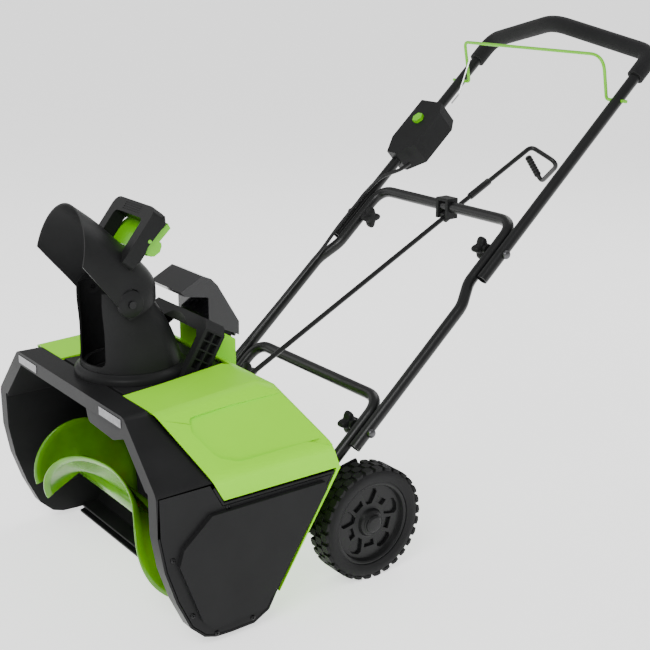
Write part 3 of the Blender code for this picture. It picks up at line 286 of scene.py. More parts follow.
def smooth_route(points, steps=8):
    padded = [points[0] * 2 - points[1]] + list(points) + [points[-1] * 2 - points[-2]]
    path = []
    for a, b, c, d in zip(padded, padded[1:], padded[2:], padded[3:]):
        for step in range(steps):
            t = step / steps
            path.append(0.5 * (2 * b + (c - a) * t + (2 * a - 5 * b + 4 * c - d) * t ** 2
                               + (3 * b - a - 3 * c + d) * t ** 3))
    path.append(points[-1])
    return path


def sweep(path, radius, inner=None, steps=24, radii=None):
    """A round bar along the path, a tube when inner is given, or a bar of changing radius."""
    path = [Vector(point) for point in path]
    bm = bmesh.new()
    tangents = [(path[min(index + 1, len(path) - 1)] - path[max(index - 1, 0)]).normalized()
                for index in range(len(path))]
    side = axis_frame(tangents[0])[0]
    walls = [radius] if inner is None else [radius, inner]
    shells = [[] for _ in walls]
    for index, (point, tangent) in enumerate(zip(path, tangents)):
        side = (side - tangent * side.dot(tangent)).normalized()
        up = tangent.cross(side)
        for shell, wall in zip(shells, walls):
            reach = radii[index] if radii else wall
            shell.append([bm.verts.new(point + reach * (math.cos(2 * math.pi * step / steps) * side
                                                        + math.sin(2 * math.pi * step / steps) * up))
                          for step in range(steps)])
    for shell in shells:
        for first, second in zip(shell, shell[1:]):
            for step in range(steps):
                after = (step + 1) % steps
                bm.faces.new((first[step], first[after], second[after], second[step]))
    for end in (0, -1):
        if inner is None:
            bm.faces.new(shells[0][end])
            continue
        for step in range(steps):
            after = (step + 1) % steps
            bm.faces.new((shells[0][end][step], shells[0][end][after], shells[1][end][after],
                          shells[1][end][step]))
    return bm


def joined(*parts):
    """Several closed shapes in one mesh."""
    whole = bmesh.new()
    for part in parts:
        mesh = bpy.data.meshes.new("part")
        outward(part)
        part.to_mesh(mesh)
        part.free()
        whole.from_mesh(mesh)
        bpy.data.meshes.remove(mesh)
    return whole


def outward(bm):
    bmesh.ops.recalc_face_normals(bm, faces=bm.faces)
    if bm.calc_volume(signed=True) < 0:
        bmesh.ops.reverse_faces(bm, faces=bm.faces)


def raw_object(name, bm, mat):
    outward(bm)
    mesh = bpy.data.meshes.new(name)
    bm.to_mesh(mesh)
    bm.free()
    obj = bpy.data.objects.new(name, mesh)
    obj.data.materials.append(mat)
    bpy.context.scene.collection.objects.link(obj)
    return obj


def boolean(obj, operation, bm):
    """Applies a Boolean at once and removes its tool."""
    tool = raw_object("tool", bm, obj.data.materials[0])
    modifier = obj.modifiers.new("boolean", "BOOLEAN")
    modifier.operation = operation
    modifier.solver = "EXACT"
    modifier.object = tool
    applied(obj)
    bpy.data.objects.remove(tool, do_unlink=True)


def applied(obj):
    bpy.context.view_layer.update()
    graph = bpy.context.evaluated_depsgraph_get()
    mesh = bpy.data.meshes.new_from_object(obj.evaluated_get(graph))
    obj.modifiers.clear()
    obj.data = mesh


def finish(obj, bevel=0.0, segments=2, angle=35, bevel_angle=28):
    """Dissolves flat triangles, rounds sharp edges and shades the piece."""
    bm = bmesh.new()
    bm.from_mesh(obj.data)
    bmesh.ops.remove_doubles(bm, verts=bm.verts, dist=WELD_GAP)
    if bevel:
        bmesh.ops.dissolve_limit(bm, angle_limit=FLAT_ANGLE, verts=bm.verts, edges=bm.edges)
    bm.to_mesh(obj.data)
    bm.free()
    if bevel:
        modifier = obj.modifiers.new("bevel", "BEVEL")
        modifier.width = bevel
        modifier.segments = segments
        modifier.limit_method = "ANGLE"
        modifier.angle_limit = math.radians(bevel_angle)
        modifier.miter_outer = "MITER_ARC"
        modifier.use_clamp_overlap = True
        applied(obj)
    obj.data.shade_smooth()
    obj.data.set_sharp_from_angle(angle=math.radians(angle))
    if bevel:
        obj.modifiers.new("normals", "WEIGHTED_NORMAL").keep_sharp = True
    return obj


def piece(name, bm, mat, body, nodes=(), bevel=0.0, segments=2, angle=35, unions=(), cuts=()):
    obj = raw_object(name, bm, mat)
    for part in unions:
        boolean(obj, "UNION", part)
    for part in cuts:
        boolean(obj, "DIFFERENCE", part)
    finish(obj, bevel, segments, angle)
    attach(obj, body)
    if nodes:
        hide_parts(*nodes)
    return obj


def node_body(node):
    for body, members in frame["record"]["behaviour"]["bodies"].items():
        if node in members:
            return body
    return None


def soften(obj, near, width):
    """Rounds the long blunt edges whose ends pass the test, by more than the fine bevel could."""
    bm = bmesh.new()
    bm.from_mesh(obj.data)
    bmesh.ops.dissolve_limit(bm, angle_limit=FLAT_ANGLE, verts=bm.verts, edges=bm.edges)
    low, high = math.radians(15), math.radians(71)
    edges = [edge for edge in bm.edges
             if len(edge.link_faces) == 2 and low < edge.calc_face_angle_signed() < high
             and all(near(vertex.co) for vertex in edge.verts)]
    bmesh.ops.bevel(bm, geom=edges, offset=width, segments=5, profile=0.5, affect="EDGES",
                    clamp_overlap=False)
    bm.to_mesh(obj.data)
    bm.free()


def refined(node, mat, bevel=0.001, segments=2, angle=35, unions=(), cuts=(), bevel_angle=28, soft=None,
            soft_width=0.0):
    """The CAD node's own shape with rounded edges, standing in for it."""
    obj = bpy.data.objects.new(node + "_fine", frame["nodes"][node].data.copy())
    obj.data.materials.clear()
    obj.data.materials.append(mat)
    bpy.context.scene.collection.objects.link(obj)
    bm = bmesh.new()
    bm.from_mesh(obj.data)
    bmesh.ops.remove_doubles(bm, verts=bm.verts, dist=WELD_GAP)
    outward(bm)
    bm.to_mesh(obj.data)
    bm.free()
    if soft:
        soften(obj, soft, soft_width)
    for part in unions:
        boolean(obj, "UNION", part)
    for part in cuts:
        boolean(obj, "DIFFERENCE", part)
    finish(obj, bevel, segments, angle, bevel_angle)
    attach(obj, node_body(node))
    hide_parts(node)
    return obj


def screw(name, at, axis, radius, body, mat=None, recess=True):
    """A domed screw head with a six-lobed recess."""
    at, axis = Vector(at), Vector(axis).normalized()
    head = turned([(0.0, -0.001), (radius, -0.001), (radius, radius * 0.15), (radius * 0.82, radius * 0.42),
                   (radius * 0.5, radius * 0.55), (0.0, radius * 0.58)], at, axis, 24)
    hole = turned([(radius * 0.34, radius * 0.2), (radius * 0.34, radius)], at, axis, 24, lobes=6,
                  lobe_depth=0.2)
    return piece(name, head, mat or DARK_STEEL, body, cuts=[hole] if recess else ())


def paint(node, mat, angle=35):
    """A CAD node whose shape stays gets the finished material."""
    obj = frame["nodes"][node]
    obj.data.materials.clear()
    obj.data.materials.append(mat)
    obj.data.shade_smooth()
    obj.data.set_sharp_from_angle(angle=math.radians(angle))


# ---------------------------------------------------------------- body shells
SLOPE_TOP, SLOPE_FOOT = Vector((0.2047, 0, 0.3520)), Vector((0.2780, 0, 0.2646))


def hood_pocket(sign):
    """The backing that thickens the hood's slope, and the cutter that sinks a shallow pocket into it."""
    down = SLOPE_FOOT - SLOPE_TOP
    down = Vector((sign * down.x, 0, down.z)).normalized()
    out = Vector((-sign * down.z, 0, abs(down.x))).normalized()
    top = Vector((sign * SLOPE_TOP.x, 0, SLOPE_TOP.z))
    back = Vector((0, 1, 0))
    slab = plane_prism([(-0.098, 0.012), (0.040, 0.012), (0.104, 0.104), (-0.075, 0.104), (-0.098, 0.050)],
                       top, back, down, *sorted((0.0010 * sign, 0.0085 * sign)))
    front, rear, depth = -0.0900, 0.1180, 0.0052
    tilted = (back * (rear - front) + out * depth).normalized()
    base = top + back * front - out * depth
    outline = round_corners([Vector(point) for point in
                             ((0.2100, 0.0130, 0), (0.0700, 0.0130, 0), (0.0030, 0.0170, 0),
                              (0.0000, 0.0400, 0),
                              (0.0240, 0.0860, 0), (0.0560, 0.1000, 0), (0.2100, 0.0980, 0))],
                            (0.03, 0.012, 0.016, 0.03, 0.02))
    cutter = plane_prism([(point.x, point.y) for point in outline], base, tilted, down,
                         *sorted((0.0, -0.03 * sign)))
    return slab, cutter


def on_shoulder(place):
    """The body's long outer corners: where the slope meets the top, and where it meets the side."""
    return abs(place.x) > 0.188 and place.z > 0.2604


pockets = [hood_pocket(sign) for sign in (-1, 1)]
refined("auger_housing", BLACK, 0.0012, soft=on_shoulder, soft_width=0.0075)
refined("hood", HOOD_GREEN, 0.0010, segments=3, soft=on_shoulder, soft_width=0.0100,
        unions=[slab for slab, cutter in pockets], cuts=[cutter for slab, cutter in pockets])
refined("belt_cover", BLACK, 0.0022, segments=3)
refined("left_side_cover", BLACK, 0.0014)
refined("deck_panel", BLACK, 0.0010)
refined("scraper_bar", BLACK_SMOOTH, 0.0010)
refined("battery_bay", HOOD_GREEN, 0.0012)
refined("battery_pack", BLACK, 0.0030, segments=3)
refined("controller", BLACK, 0.0020)
CARRY_BASE = Vector((0, -0.023, 0.3512))
CARRY_UP = Vector((0, 0.522, 0.853))
CARRY_BACK = Vector((0, 0.853, -0.522))
CARRY_TOP, CARRY_HALF = 0.0985, 0.0885


def carry_handle_cuts():
    """Ribbed hollows in the outer face of each leg, and the finger notches along the back of the bar."""
    cuts = []
    for sign in (-1, 1):
        for row in range(4):
            for back in (0.0060, 0.0215):
                low = 0.0200 + row * 0.0160
                pocket = [(back, low), (back + 0.0130, low), (back + 0.0130, low + 0.0135),
                          (back, low + 0.0135)]
                cuts.append(plane_prism(pocket, CARRY_BASE, CARRY_BACK, CARRY_UP,
                                        *sorted((sign * (CARRY_HALF - 0.0090),
                                                 sign * (CARRY_HALF + 0.01)))))
    for index in range(9):
        middle = (index - 4) * 0.0140
        notch = [(0.0060, CARRY_TOP - 0.0030), (0.0340, CARRY_TOP - 0.0030), (0.0340, CARRY_TOP + 0.01),
                 (0.0060, CARRY_TOP + 0.01)]
        cuts.append(plane_prism(notch, CARRY_BASE, CARRY_BACK, CARRY_UP, middle - 0.0018, middle + 0.0018))
    return cuts


refined("carry_handle", BLACK, 0.0012, segments=3, cuts=carry_handle_cuts())
refined("battery_cover", SMOKED, 0.0030, segments=3)
GRIP_BASE = Vector((0, -0.1043, 0.5413))
GRIP_UP = Vector((0, 0.626, 0.780))
GRIP_BACK = Vector((0, 0.780, -0.626))


def grip_side(outline, low, high):
    """A plate across X, drawn in the D-handle's own plane as (back, up) points."""
    return plane_prism(outline, GRIP_BASE, GRIP_BACK, GRIP_UP, *sorted((low, high)))


def make_grip():
    grooves = []
    for index in range(4):
        up = 0.0800 + index * 0.0036
        grooves.append(plane_prism([(-0.026, up), (0.026, up), (0.026, up + 0.0014), (-0.026, up + 0.0014)],
                                   GRIP_BASE, (-1, 0, 0), GRIP_UP, -0.0012, 0.0010))
    refined("deflector_handle", BLACK, 0.0018, segments=3, cuts=grooves)
    cheek = round_corners([Vector(point) for point in
                           ((0.0200, 0.0060, 0), (0.0262, 0.0170, 0), (0.0262, 0.0320, 0),
                            (0.0238, 0.0420, 0),
                            (0.0262, 0.0600, 0), (0.0290, 0.0860, 0), (0.0200, 0.0960, 0))],
                          (0.004, 0.004, 0.004, 0.004, 0.005))
    for side, sign in (("left", -1), ("right", 1)):
        piece(f"grip_cheek_{side}", grip_side([(point.x, point.y) for point in cheek], sign * 0.0590,
                                              sign * 0.0636), BLACK,
              "deflector", bevel=0.0014, segments=3)
        at = GRIP_BASE + GRIP_UP * 0.0500 + GRIP_BACK * 0.0205 + X * sign * 0.0636
        piece(f"trigger_pin_{side}", turned([(0.0, -0.001), (0.0030, -0.001), (0.0030, 0.0010),
                                             (0.0022, 0.0016), (0.0, 0.0018)],
                                            at, (sign, 0, 0), 24), GREEN_PART, "deflector")
    lug = grip_side([(0.0330, 0.0300), (0.0455, 0.0360), (0.0500, 0.0470), (0.0470, 0.0560),
                     (0.0430, 0.0600), (0.0350, 0.0560)], -0.0560, 0.0560)
    refined("deflector_trigger", GREEN_PART, 0.0016, segments=3, unions=[lug])


make_grip()
refined("switch_box", BLACK, 0.0060, segments=4)
refined("rod_guide", BLACK, 0.0010)
for side in ("left", "right"):
    refined(f"wheel_bracket_{side}", TUBE, 0.0012)
    paint(f"lamp_{side}", LENS)
    paint(f"auger_bearing_{side}", STEEL)
    paint(f"deflector_pin_{side}", BLACK_SMOOTH)
for node, mat in (("auger_shaft", STEEL), ("auger_pulley", BLACK), ("motor", DARK_STEEL),
                  ("motor_pulley", STEEL),
                  ("drive_belt", CABLE), ("axle", DARK_STEEL), ("chute_gear", BLACK),
                  ("worm_pinion", BLACK),
                  ("cable_gland", BLACK_SMOOTH), ("power_button", GREEN_PART), ("pull_wire", STEEL)):
    paint(node, mat)


def make_side_details():
    for index, (y, z) in enumerate(((-0.0621, 0.2147), (-0.1556, 0.1568), (-0.1264, 0.0585),
                                    (-0.0866, 0.0163), (-0.0230, 0.0202))):
        for side, sign in (("right", 1), ("left", -1)):
            screw(f"cover_screw_{side}_{index}", (sign * 0.2782, y, z), (sign, 0, 0), 0.0042, "chassis",
                  BLACK_SMOOTH)
    ear = round_corners([Vector((x, 0, z)) for x, z in
                         ((0.0620, 0.3290), (0.0700, 0.3080), (0.1500, 0.3040), (0.1860, 0.3170),
                          (0.1860, 0.3290))], (0.012, 0.014, 0.008))
    piece("lamp_backing", prism([(point.x, point.z) for point in ear], "y", FRONT_Y + 0.0010, -0.1400),
          BLACK, "chassis", bevel=0.0020)


make_side_details()


# ---------------------------------------------------------------- auger
def paddle_reach(turn):
    """How far from the middle a paddle's rim is after this many degrees, as in the CAD."""
    return PADDLE_SPAN * (turn / (turn + PADDLE_EASE)) ** PADDLE_POWER


def paddle(middle_angle, right_sweep, left_sweep):
    """One V-shaped spiral sheet with a thicker rim, from its left end over the middle to its right end."""
    steps = 60
    stations = [(0.0, 0.0)]
    for step in range(1, steps + 1):
        share = (step / steps) ** 2
        stations.append((paddle_reach(right_sweep * share), right_sweep * share))
        stations.insert(0, (-paddle_reach(left_sweep * share), left_sweep * share))
    section = [(0.012, -0.0013), (AUGER_R - 0.014, -0.0011), (AUGER_R - 0.012, -0.0021),
               (AUGER_R - 0.001, -0.0021),
               (AUGER_R, -0.0012), (AUGER_R, 0.0012), (AUGER_R - 0.001, 0.0021), (AUGER_R - 0.012, 0.0021),
               (AUGER_R - 0.014, 0.0011), (0.012, 0.0013)]
    spokes = []
    for x, turn in stations:
        angle = math.radians(middle_angle + turn)
        spokes.append((Vector((x, AUGER_Y, AUGER_Z)), Vector((0, math.cos(angle), math.sin(angle)))))
    rim = [centre + radial * AUGER_R for centre, radial in spokes]
    bm = bmesh.new()
    rings = []
    for index, (centre, radial) in enumerate(spokes):
        along = rim[min(index + 1, len(rim) - 1)] - rim[max(index - 1, 0)]
        normal = radial.cross(along).normalized()
        rings.append([bm.verts.new(centre + radial * reach + normal * shift) for reach, shift in section])
    count = len(section)
    for first, second in zip(rings, rings[1:]):
        for index in range(count):
            after = (index + 1) % count
            bm.faces.new((first[index], first[after], second[after], second[index]))
    bm.faces.new(rings[0])
    bm.faces.new(rings[-1])
    return bm


def make_auger():
    hub = turned([(0.0066, -0.2505), (0.0150, -0.2505), (0.0160, -0.2490), (0.0160, 0.2490),
                  (0.0150, 0.2505), (0.0066, 0.2505)], (0, AUGER_Y, AUGER_Z), (1, 0, 0), 48, closed=True)
    parts = [hub, paddle(120, LONG_SWEEP, SHORT_SWEEP), paddle(300, SHORT_SWEEP, LONG_SWEEP)]
    piece("auger_fine", joined(*parts), AUGER_GREEN, "auger_rotor", ["auger"], angle=50)
    cone = [(0.0170, 0.0), (0.0520, 0.0), (0.0500, 0.0040), (0.0330, 0.0230), (0.0270, 0.0270),
            (0.0170, 0.0270)]
    for side, sign in (("left", -1), ("right", 1)):
        piece(f"bearing_cone_{side}", turned(cone, (sign * 0.2545, AUGER_Y, AUGER_Z), (-sign, 0, 0), 64,
                                             closed=True),
              BLACK, "chassis")


make_auger()


# ---------------------------------------------------------------- chute
def ring_loft(levels, wall, steps=96):
    bm = bmesh.new()
    shells = []
    for inwards in (0.0, wall):
        shell = []
        for centre_y, z, radius in levels:
            shell.append([bm.verts.new(((radius - inwards) * math.sin(2 * math.pi * step / steps),
                                        centre_y + (radius - inwards) * math.cos(2 * math.pi * step / steps), z))
                          for step in range(steps)])
        shells.append(shell)
    for shell in shells:
        for first, second in zip(shell, shell[1:]):
            for step in range(steps):
                after = (step + 1) % steps
                bm.faces.new((first[step], first[after], second[after], second[step]))
    for end in (0, -1):
        for step in range(steps):
            after = (step + 1) % steps
            bm.faces.new((shells[0][end][step], shells[0][end][after], shells[1][end][after],
                          shells[1][end][step]))
    return bm


DEFLECTOR = [((-0.1760, 0.5490), (-0.1550, 0.6270), 0.0810), ((-0.1560, 0.5240), (-0.1190, 0.5980), 0.0785),
             ((-0.1330, 0.4960), (-0.0800, 0.5600), 0.0755), ((-0.1200, 0.4790), (-0.0490, 0.5290), 0.0730),
             ((-0.1080, 0.4620), (-0.0270, 0.5000), 0.0710), ((-0.0990, 0.4530), (-0.0250, 0.4740), 0.0705)]


def half_pipe(stations, grow, wall, steps=56):
    bm = bmesh.new()
    shells = []
    for inwards in (0.0, wall):
        shell = []
        for edge, spine, width in stations:
            low = Vector((0, *edge))
            rise = Vector((0, *spine)) - low
            height = rise.length + grow - inwards
            rise.normalize()
            shell.append([bm.verts.new(low + rise * height * math.sin(math.pi * step / steps)
                                       + X * ((width + grow - inwards) * math.cos(math.pi * step / steps)))
                          for step in range(steps + 1)])
        shells.append(shell)
    for shell in shells:
        for first, second in zip(shell, shell[1:]):
            for step in range(steps):
                bm.faces.new((first[step], first[step + 1], second[step + 1], second[step]))
    for end in (0, -1):
        for step in range(steps):
            bm.faces.new((shells[0][end][step], shells[0][end][step + 1], shells[1][end][step + 1],
                          shells[1][end][step]))
    for edge in (0, -1):
        for index in range(len(stations) - 1):
            bm.faces.new((shells[0][index][edge], shells[0][index + 1][edge],
                          shells[1][index + 1][edge], shells[1][index][edge]))
    return bm


def between(stations, steps):
    """More stations on a smooth curve through the given ones."""
    flat = [Vector((*edge, spine[0])) for edge, spine, _ in stations]
    rest = [Vector((spine[1], width, 0)) for _, spine, width in stations]
    paired = zip(smooth_route(flat, steps), smooth_route(rest, steps))
    return [((a[0], a[1]), (a[2], b[0]), b[1]) for a, b in paired]


def make_chute():
    ring = [(0.0700, -0.0125), (0.0790, -0.0125), (0.0790, 0.0), (0.0893, 0.0), (0.0893, -0.0072),
            (0.0899, -0.0072),
            (0.0899, -0.0020), (0.0893, 0.0004), (0.0878, 0.0022), (0.0856, 0.0036), (0.0832, 0.0050),
            (0.0814, 0.0064), (0.0805, 0.0074), (0.0700, 0.0075)]
    piece("chute_ring_fine", turned(ring, (0, CHUTE_Y, RING_Z), (0, 0, 1), 96, closed=True), BLACK, "chute",
          ["chute_ring"])
    levels = [(CHUTE_Y, RING_Z + 0.0079, 0.0795), (CHUTE_Y - 0.003, 0.3900, 0.0765),
              (CHUTE_Y - 0.012, 0.4300, 0.0690),
              (CHUTE_Y - 0.0265, 0.4700, 0.0600), (CHUTE_Y - 0.0285, 0.4930, 0.0580)]
    fine = [tuple(point) for point in smooth_route([Vector(level) for level in levels], 5)]
    slot = [(-0.0440, 0.3860), (-0.0425, 0.3800), (-0.0370, 0.3755), (0.0370, 0.3755), (0.0425, 0.3800),
            (0.0440, 0.3860), (0.0440, 0.60), (-0.0440, 0.60)]
    ears = [rod((sign * 0.0560, PIVOT_Y, PIVOT_Z), (sign * 0.0660, PIVOT_Y, PIVOT_Z), 0.0120, 32)
            for sign in (-1, 1)]
    cuts = [prism(slot, "y", -0.30, CHUTE_Y - 0.010),
            rod((-0.1, PIVOT_Y, PIVOT_Z), (0.1, PIVOT_Y, PIVOT_Z), PIVOT_HOLE_R, 24)]
    piece("lower_chute_fine", ring_loft(fine, 0.0028), BLACK, "chute", ["lower_chute"], unions=ears,
          cuts=cuts, angle=40)
    bosses = [turned([(0.0, 0.0), (0.0210, 0.0), (0.0210, 0.0055), (0.0190, 0.0072), (0.0, 0.0074)],
                     (sign * 0.0672, PIVOT_Y, PIVOT_Z), (sign, 0, 0), 48) for sign in (-1, 1)]
    holes = [rod((-0.1, PIVOT_Y, PIVOT_Z), (0.1, PIVOT_Y, PIVOT_Z), PIVOT_HOLE_R, 24),
             rod((-0.0670, PIVOT_Y, PIVOT_Z), (0.0670, PIVOT_Y, PIVOT_Z), 0.0230, 48)]
    piece("deflector_fine", half_pipe(between(DEFLECTOR, 6), 0.0, 0.0026), BLACK, "deflector",
          ["deflector"], unions=bosses, cuts=holes, angle=40)


make_chute()


# ---------------------------------------------------------------- wheels
def make_wheel(side, sign):
    body = f"wheel_{side}"
    middle = (WHEEL_IN + WHEEL_OUT) / 2
    half = (WHEEL_OUT - WHEEL_IN) / 2
    origin = Vector((sign * middle, WHEEL_Y, WHEEL_R))
    casing = [(0.0712, -half + 0.004), (0.0780, -half + 0.0008), (0.0860, -half + 0.0004),
              (0.0905, -half + 0.0030),
              (0.0918, -half + 0.0070), (0.0928, -0.010), (0.0928, 0.010), (0.0918, half - 0.0070),
              (0.0905, half - 0.0030), (0.0860, half - 0.0004), (0.0780, half - 0.0008),
              (0.0712, half - 0.004)]
    parts = [turned(casing, origin, (sign, 0, 0), 96, closed=True)]
    count = 30
    for index in range(count):
        for row, shift in ((-0.0150, 0.0), (0.0, 0.5), (0.0150, 0.0)):
            angle = 2 * math.pi * (index + shift) / count
            radial = Vector((0, math.cos(angle), math.sin(angle)))
            across = radial.cross(X)
            wide = 0.0066
            block = [(-0.0062, -wide), (0.0062, -wide), (0.0078, 0.0), (0.0062, wide), (-0.0062, wide),
                     (-0.0078, 0.0)]
            parts.append(plane_prism(block, origin + X * row, X, across, -0.0958, -0.0905))
    piece(f"tyre_{side}_fine", joined(*parts), TYRE, body, [f"tyre_{side}"])
    rim = [(0.0066, -0.018), (0.0170, -0.018), (0.0170, 0.0040), (0.0620, 0.0040), (0.0665, -0.017),
           (0.0711, -0.018),
           (0.0711, 0.0185), (0.0680, 0.0190), (0.0655, 0.0175), (0.0630, 0.0100), (0.0300, 0.0095),
           (0.0240, 0.0115), (0.0215, 0.0170), (0.0180, 0.0190), (0.0066, 0.0190)]
    holes = []
    for index in range(5):
        angle = math.radians(90 + 72 * index)
        radial = Vector((0, math.cos(angle), math.sin(angle)))
        across = radial.cross(X)
        spade = [(-0.0045, 0.0310), (0.0045, 0.0310), (0.0095, 0.0390), (0.0150, 0.0500), (0.0120, 0.0560),
                 (0.0, 0.0588), (-0.0120, 0.0560), (-0.0150, 0.0500), (-0.0095, 0.0390)]
        holes.append(plane_prism(spade, origin, across, radial, -0.05, 0.05))
        between_angle = angle + math.radians(36)
        radial = Vector((0, math.cos(between_angle), math.sin(between_angle)))
        window = [(-0.0085, 0.0330), (0.0085, 0.0330), (0.0105, 0.0440), (-0.0105, 0.0440)]
        holes.append(plane_prism(window, origin, radial.cross(X), radial, -0.05, 0.05))
    web = turned([(0.0160, 0.0030), (0.0640, 0.0030), (0.0640, 0.0045), (0.0160, 0.0045)], origin,
                 (sign, 0, 0), 72, closed=True)
    piece(f"wheel_web_{side}", web, BLACK_SMOOTH, body)
    cap = turned([(0.0, 0.0), (0.0172, 0.0), (0.0172, 0.0025), (0.0150, 0.0040), (0.0148, 0.0062),
                  (0.0120, 0.0078),
                  (0.0105, 0.0082), (0.0, 0.0090)], (sign * (middle + 0.0172), WHEEL_Y, WHEEL_R),
                  (sign, 0, 0), 48)
    piece(f"wheel_rim_{side}_fine", turned(rim, origin, (sign, 0, 0), 72, closed=True), RIM, body,
          [f"wheel_rim_{side}"], bevel=0.0008, unions=[cap], cuts=holes)


for side, sign in (("left", -1), ("right", 1)):
    make_wheel(side, sign)


# ---------------------------------------------------------------- handle
def make_handle():
    path = round_corners([on_handle(0.118, -INNER_X), on_handle(0.2955, -INNER_X),
                          on_handle(0.2955, INNER_X), on_handle(0.118, INNER_X)], (0.034, 0.034))
    piece("lower_handle_fine", sweep(path, TUBE_R, TUBE_R - TUBE_WALL, 32), TUBE, "chassis",
          ["lower_handle"])
    half = [[on_handle(0.2247, sign * OUTER_X), on_handle(0.4500, sign * OUTER_X),
             on_handle(0.4840, sign * INNER_X), on_handle(LINE_Y, sign * INNER_X)] for sign in (-1, 1)]
    path = round_corners(half[0] + half[1][::-1], (0.05, 0.05, 0.034, 0.034, 0.05, 0.05))
    piece("mid_handle_fine", sweep(path, TUBE_R, TUBE_R - TUBE_WALL, 32), TUBE, "chassis", ["mid_handle"])
    bend = [Vector((-0.2054, 0.8900, 0.8060)), Vector((0.0, 0.8500, 0.8530)),
            Vector((0.2054, 0.8900, 0.8060))]
    path = round_corners([on_handle(0.4935, -OUTER_X), on_handle(0.8480, -OUTER_X)] + bend
                         + [on_handle(0.8480, OUTER_X), on_handle(0.4935, OUTER_X)],
                         (0.3, 0.045, 0.10, 0.045, 0.3), 12)
    piece("upper_handle_fine", sweep(path, TUBE_R, TUBE_R - TUBE_WALL, 32), TUBE, "upper_handle",
          ["upper_handle"])
    start = next(index for index, point in enumerate(path) if point.y > 0.846)
    end = next(index for index in range(len(path) - 1, 0, -1) if path[index].y > 0.846)
    grip = path[start:end + 1]
    grip.insert(1, grip[0] + (grip[1] - grip[0]).normalized() * 0.0025)
    grip.insert(-1, grip[-1] + (grip[-2] - grip[-1]).normalized() * 0.0025)
    radii = [FOAM_END_R] + [FOAM_R] * (len(grip) - 2) + [FOAM_END_R]
    piece("foam_grip_fine", sweep(grip, FOAM_R, radii=radii, steps=32), FOAM, "upper_handle", ["foam_grip"])
    for level, at, body in (("upper", FOLD, "upper_handle"), ("lower", LOWER_BOLT, "chassis")):
        for side, sign in (("left", -1), ("right", 1)):
            profile = [(0.0, 0.0), (0.0033, 0.0), (0.0033, 0.0540), (0.0078, 0.0541), (0.0078, 0.0560),
                       (0.0066, 0.0582), (0.0040, 0.0596), (0.0, 0.0600)]
            piece(f"bolt_{level}_{side}_fine", turned(profile, (sign * 0.1620, at.y, at.z), (sign, 0, 0),
                                                      32),
                  DARK_STEEL, body, [f"bolt_{level}_{side}"])
            knob = turned([(0.0118, 0.0), (0.0142, 0.0012), (0.0155, 0.0050), (0.0158, 0.0120),
                           (0.0150, 0.0145), (0.0120, 0.0160), (0.0060, 0.0165), (0.0, 0.0165)],
                          (sign * KNOB_X, at.y, at.z), (-sign, 0, 0), 72, lobes=4, lobe_depth=0.28)
            collar = turned([(0.0090, 0.0), (0.0090, 0.0060)], (sign * (KNOB_X + 0.0020), at.y, at.z),
                            (sign, 0, 0), 32)
            piece(f"knob_{level}_{side}_fine", joined(knob, collar), BLACK, f"knob_{level}_{side}",
                  [f"knob_{level}_{side}"], angle=45)


make_handle()


# ---------------------------------------------------------------- controls, wires and the crank
def make_controls():
    path = [Vector((-0.2260, BAIL.y, BAIL.z)), Vector((-0.1800, BAIL.y, BAIL.z)),
            Vector((-0.1800, 0.7900, 0.8080)),
            Vector((0.1800, 0.7900, 0.8080)), Vector((0.1800, BAIL.y, BAIL.z)),
            Vector((0.2260, BAIL.y, BAIL.z))]
    piece("bail_fine", sweep(round_corners(path, (0.006, 0.010, 0.030, 0.006)), 0.0030, steps=20),
          GREEN_PART, "bail", ["bail"])
    beside = -0.1945
    route = [on_handle(0.6430, -0.1700, -0.004), on_handle(0.6250, -0.1720, 0.004),
             on_handle(0.6000, -0.1860, 0.0165),
             on_handle(0.5700, beside, 0.0180), on_handle(0.5450, beside, 0.0180),
             on_handle(0.5000, beside, 0.0180),
             on_handle(0.4600, -0.1900, 0.0180), on_handle(0.4200, -0.1880, 0.0200),
             on_handle(0.3600, -0.1860, 0.0220),
             on_handle(0.3100, -0.1820, 0.0260), on_handle(0.2600, -0.1740, 0.0330),
             Vector((-0.1640, 0.2150, 0.2560)),
             Vector((-0.1560, 0.1850, 0.2490)), Vector((-0.1540, 0.1545, 0.2480))]
    cable = raw_object("cable_fine", sweep(smooth_route(route, 10), 0.0034, steps=16), CABLE)
    finish(cable)
    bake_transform(cable)
    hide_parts("cable_upper", "cable_lower")


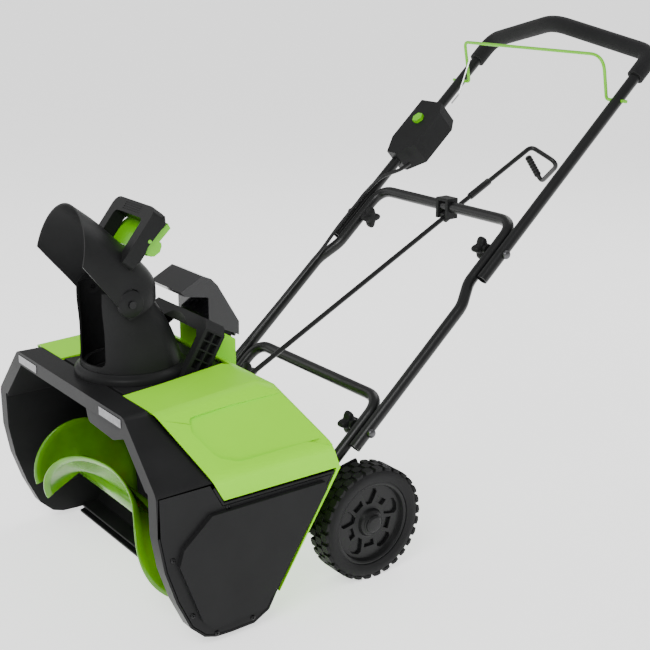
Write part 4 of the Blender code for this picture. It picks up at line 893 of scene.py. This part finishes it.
def make_crank():
    bend = on_rod(0.7980)
    loop = [bend, bend + X * 0.060 - ROD_UP * 0.030, bend - X * 0.004 - ROD_UP * 0.081,
            bend - X * 0.020 - ROD_UP * 0.025]
    path = round_corners([on_rod(0.0700)] + loop, (0.012, 0.014, 0.008))
    sleeve = turned([(0.0, 0.0), (0.0062, 0.0), (0.0066, 0.001), (0.0066, 0.052), (0.0062, 0.053),
                     (0.0, 0.053)], on_rod(0.6430), ROD_ALONG, 24)
    piece("crank_rod_fine", joined(sweep(path, ROD_R, steps=20), sleeve), TUBE, "crank", ["crank_rod"])
    heading = (loop[3] - loop[2]).normalized()
    profile = [(ROD_R, 0.0), (0.0062, 0.0), (0.0068, 0.002)]
    for index in range(6):
        start = 0.005 + index * 0.006
        profile += [(0.0068, start), (0.0061, start + 0.001), (0.0061, start + 0.002),
                    (0.0068, start + 0.003)]
    profile += [(0.0068, 0.040), (0.0062, 0.042), (ROD_R, 0.042)]
    piece("crank_grip_fine", turned(profile, loop[2] + heading * 0.0145, heading, 28, closed=True),
          BLACK_SMOOTH, "crank", ["crank_grip"])


make_controls()
make_crank()


# ---------------------------------------------------------------- studio
def make_studio():
    floor = raw_object("floor", box((-300, -300, -0.02), (300, 300, -0.0002)),
                       surface("floor_vis", (0.92, 0.92, 0.92), 0.85, grain=60, bump=0.0, vary=0.01,
                               specular=0.1))
    glow = floor.data.materials[0].node_tree.nodes["Principled BSDF"].inputs
    glow["Emission Color"].default_value = (1, 1, 1, 1)
    glow["Emission Strength"].default_value = 1.15
    world = bpy.data.worlds.new("studio")
    bpy.context.scene.world = world
    world.use_nodes = True
    world.node_tree.nodes["Background"].inputs["Color"].default_value = (1, 1, 1, 1)
    world.node_tree.nodes["Background"].inputs["Strength"].default_value = 0.55
    for name, place, size, power in (("key", (1.6, -1.8, 2.6), 1.6, 74),
                                     ("fill", (-2.2, -1.4, 1.8), 2.0, 16),
                                     ("rim", (-0.6, 2.4, 2.4), 1.8, 34)):
        data = bpy.data.lights.new(name, "AREA")
        data.energy = power
        data.size = size
        lamp = bpy.data.objects.new(name, data)
        lamp.location = place
        lamp.rotation_euler = (Vector((0, 0.2, 0.3)) - Vector(place)).to_track_quat("-Z", "Y").to_euler()
        bpy.context.scene.collection.objects.link(lamp)


make_studio()
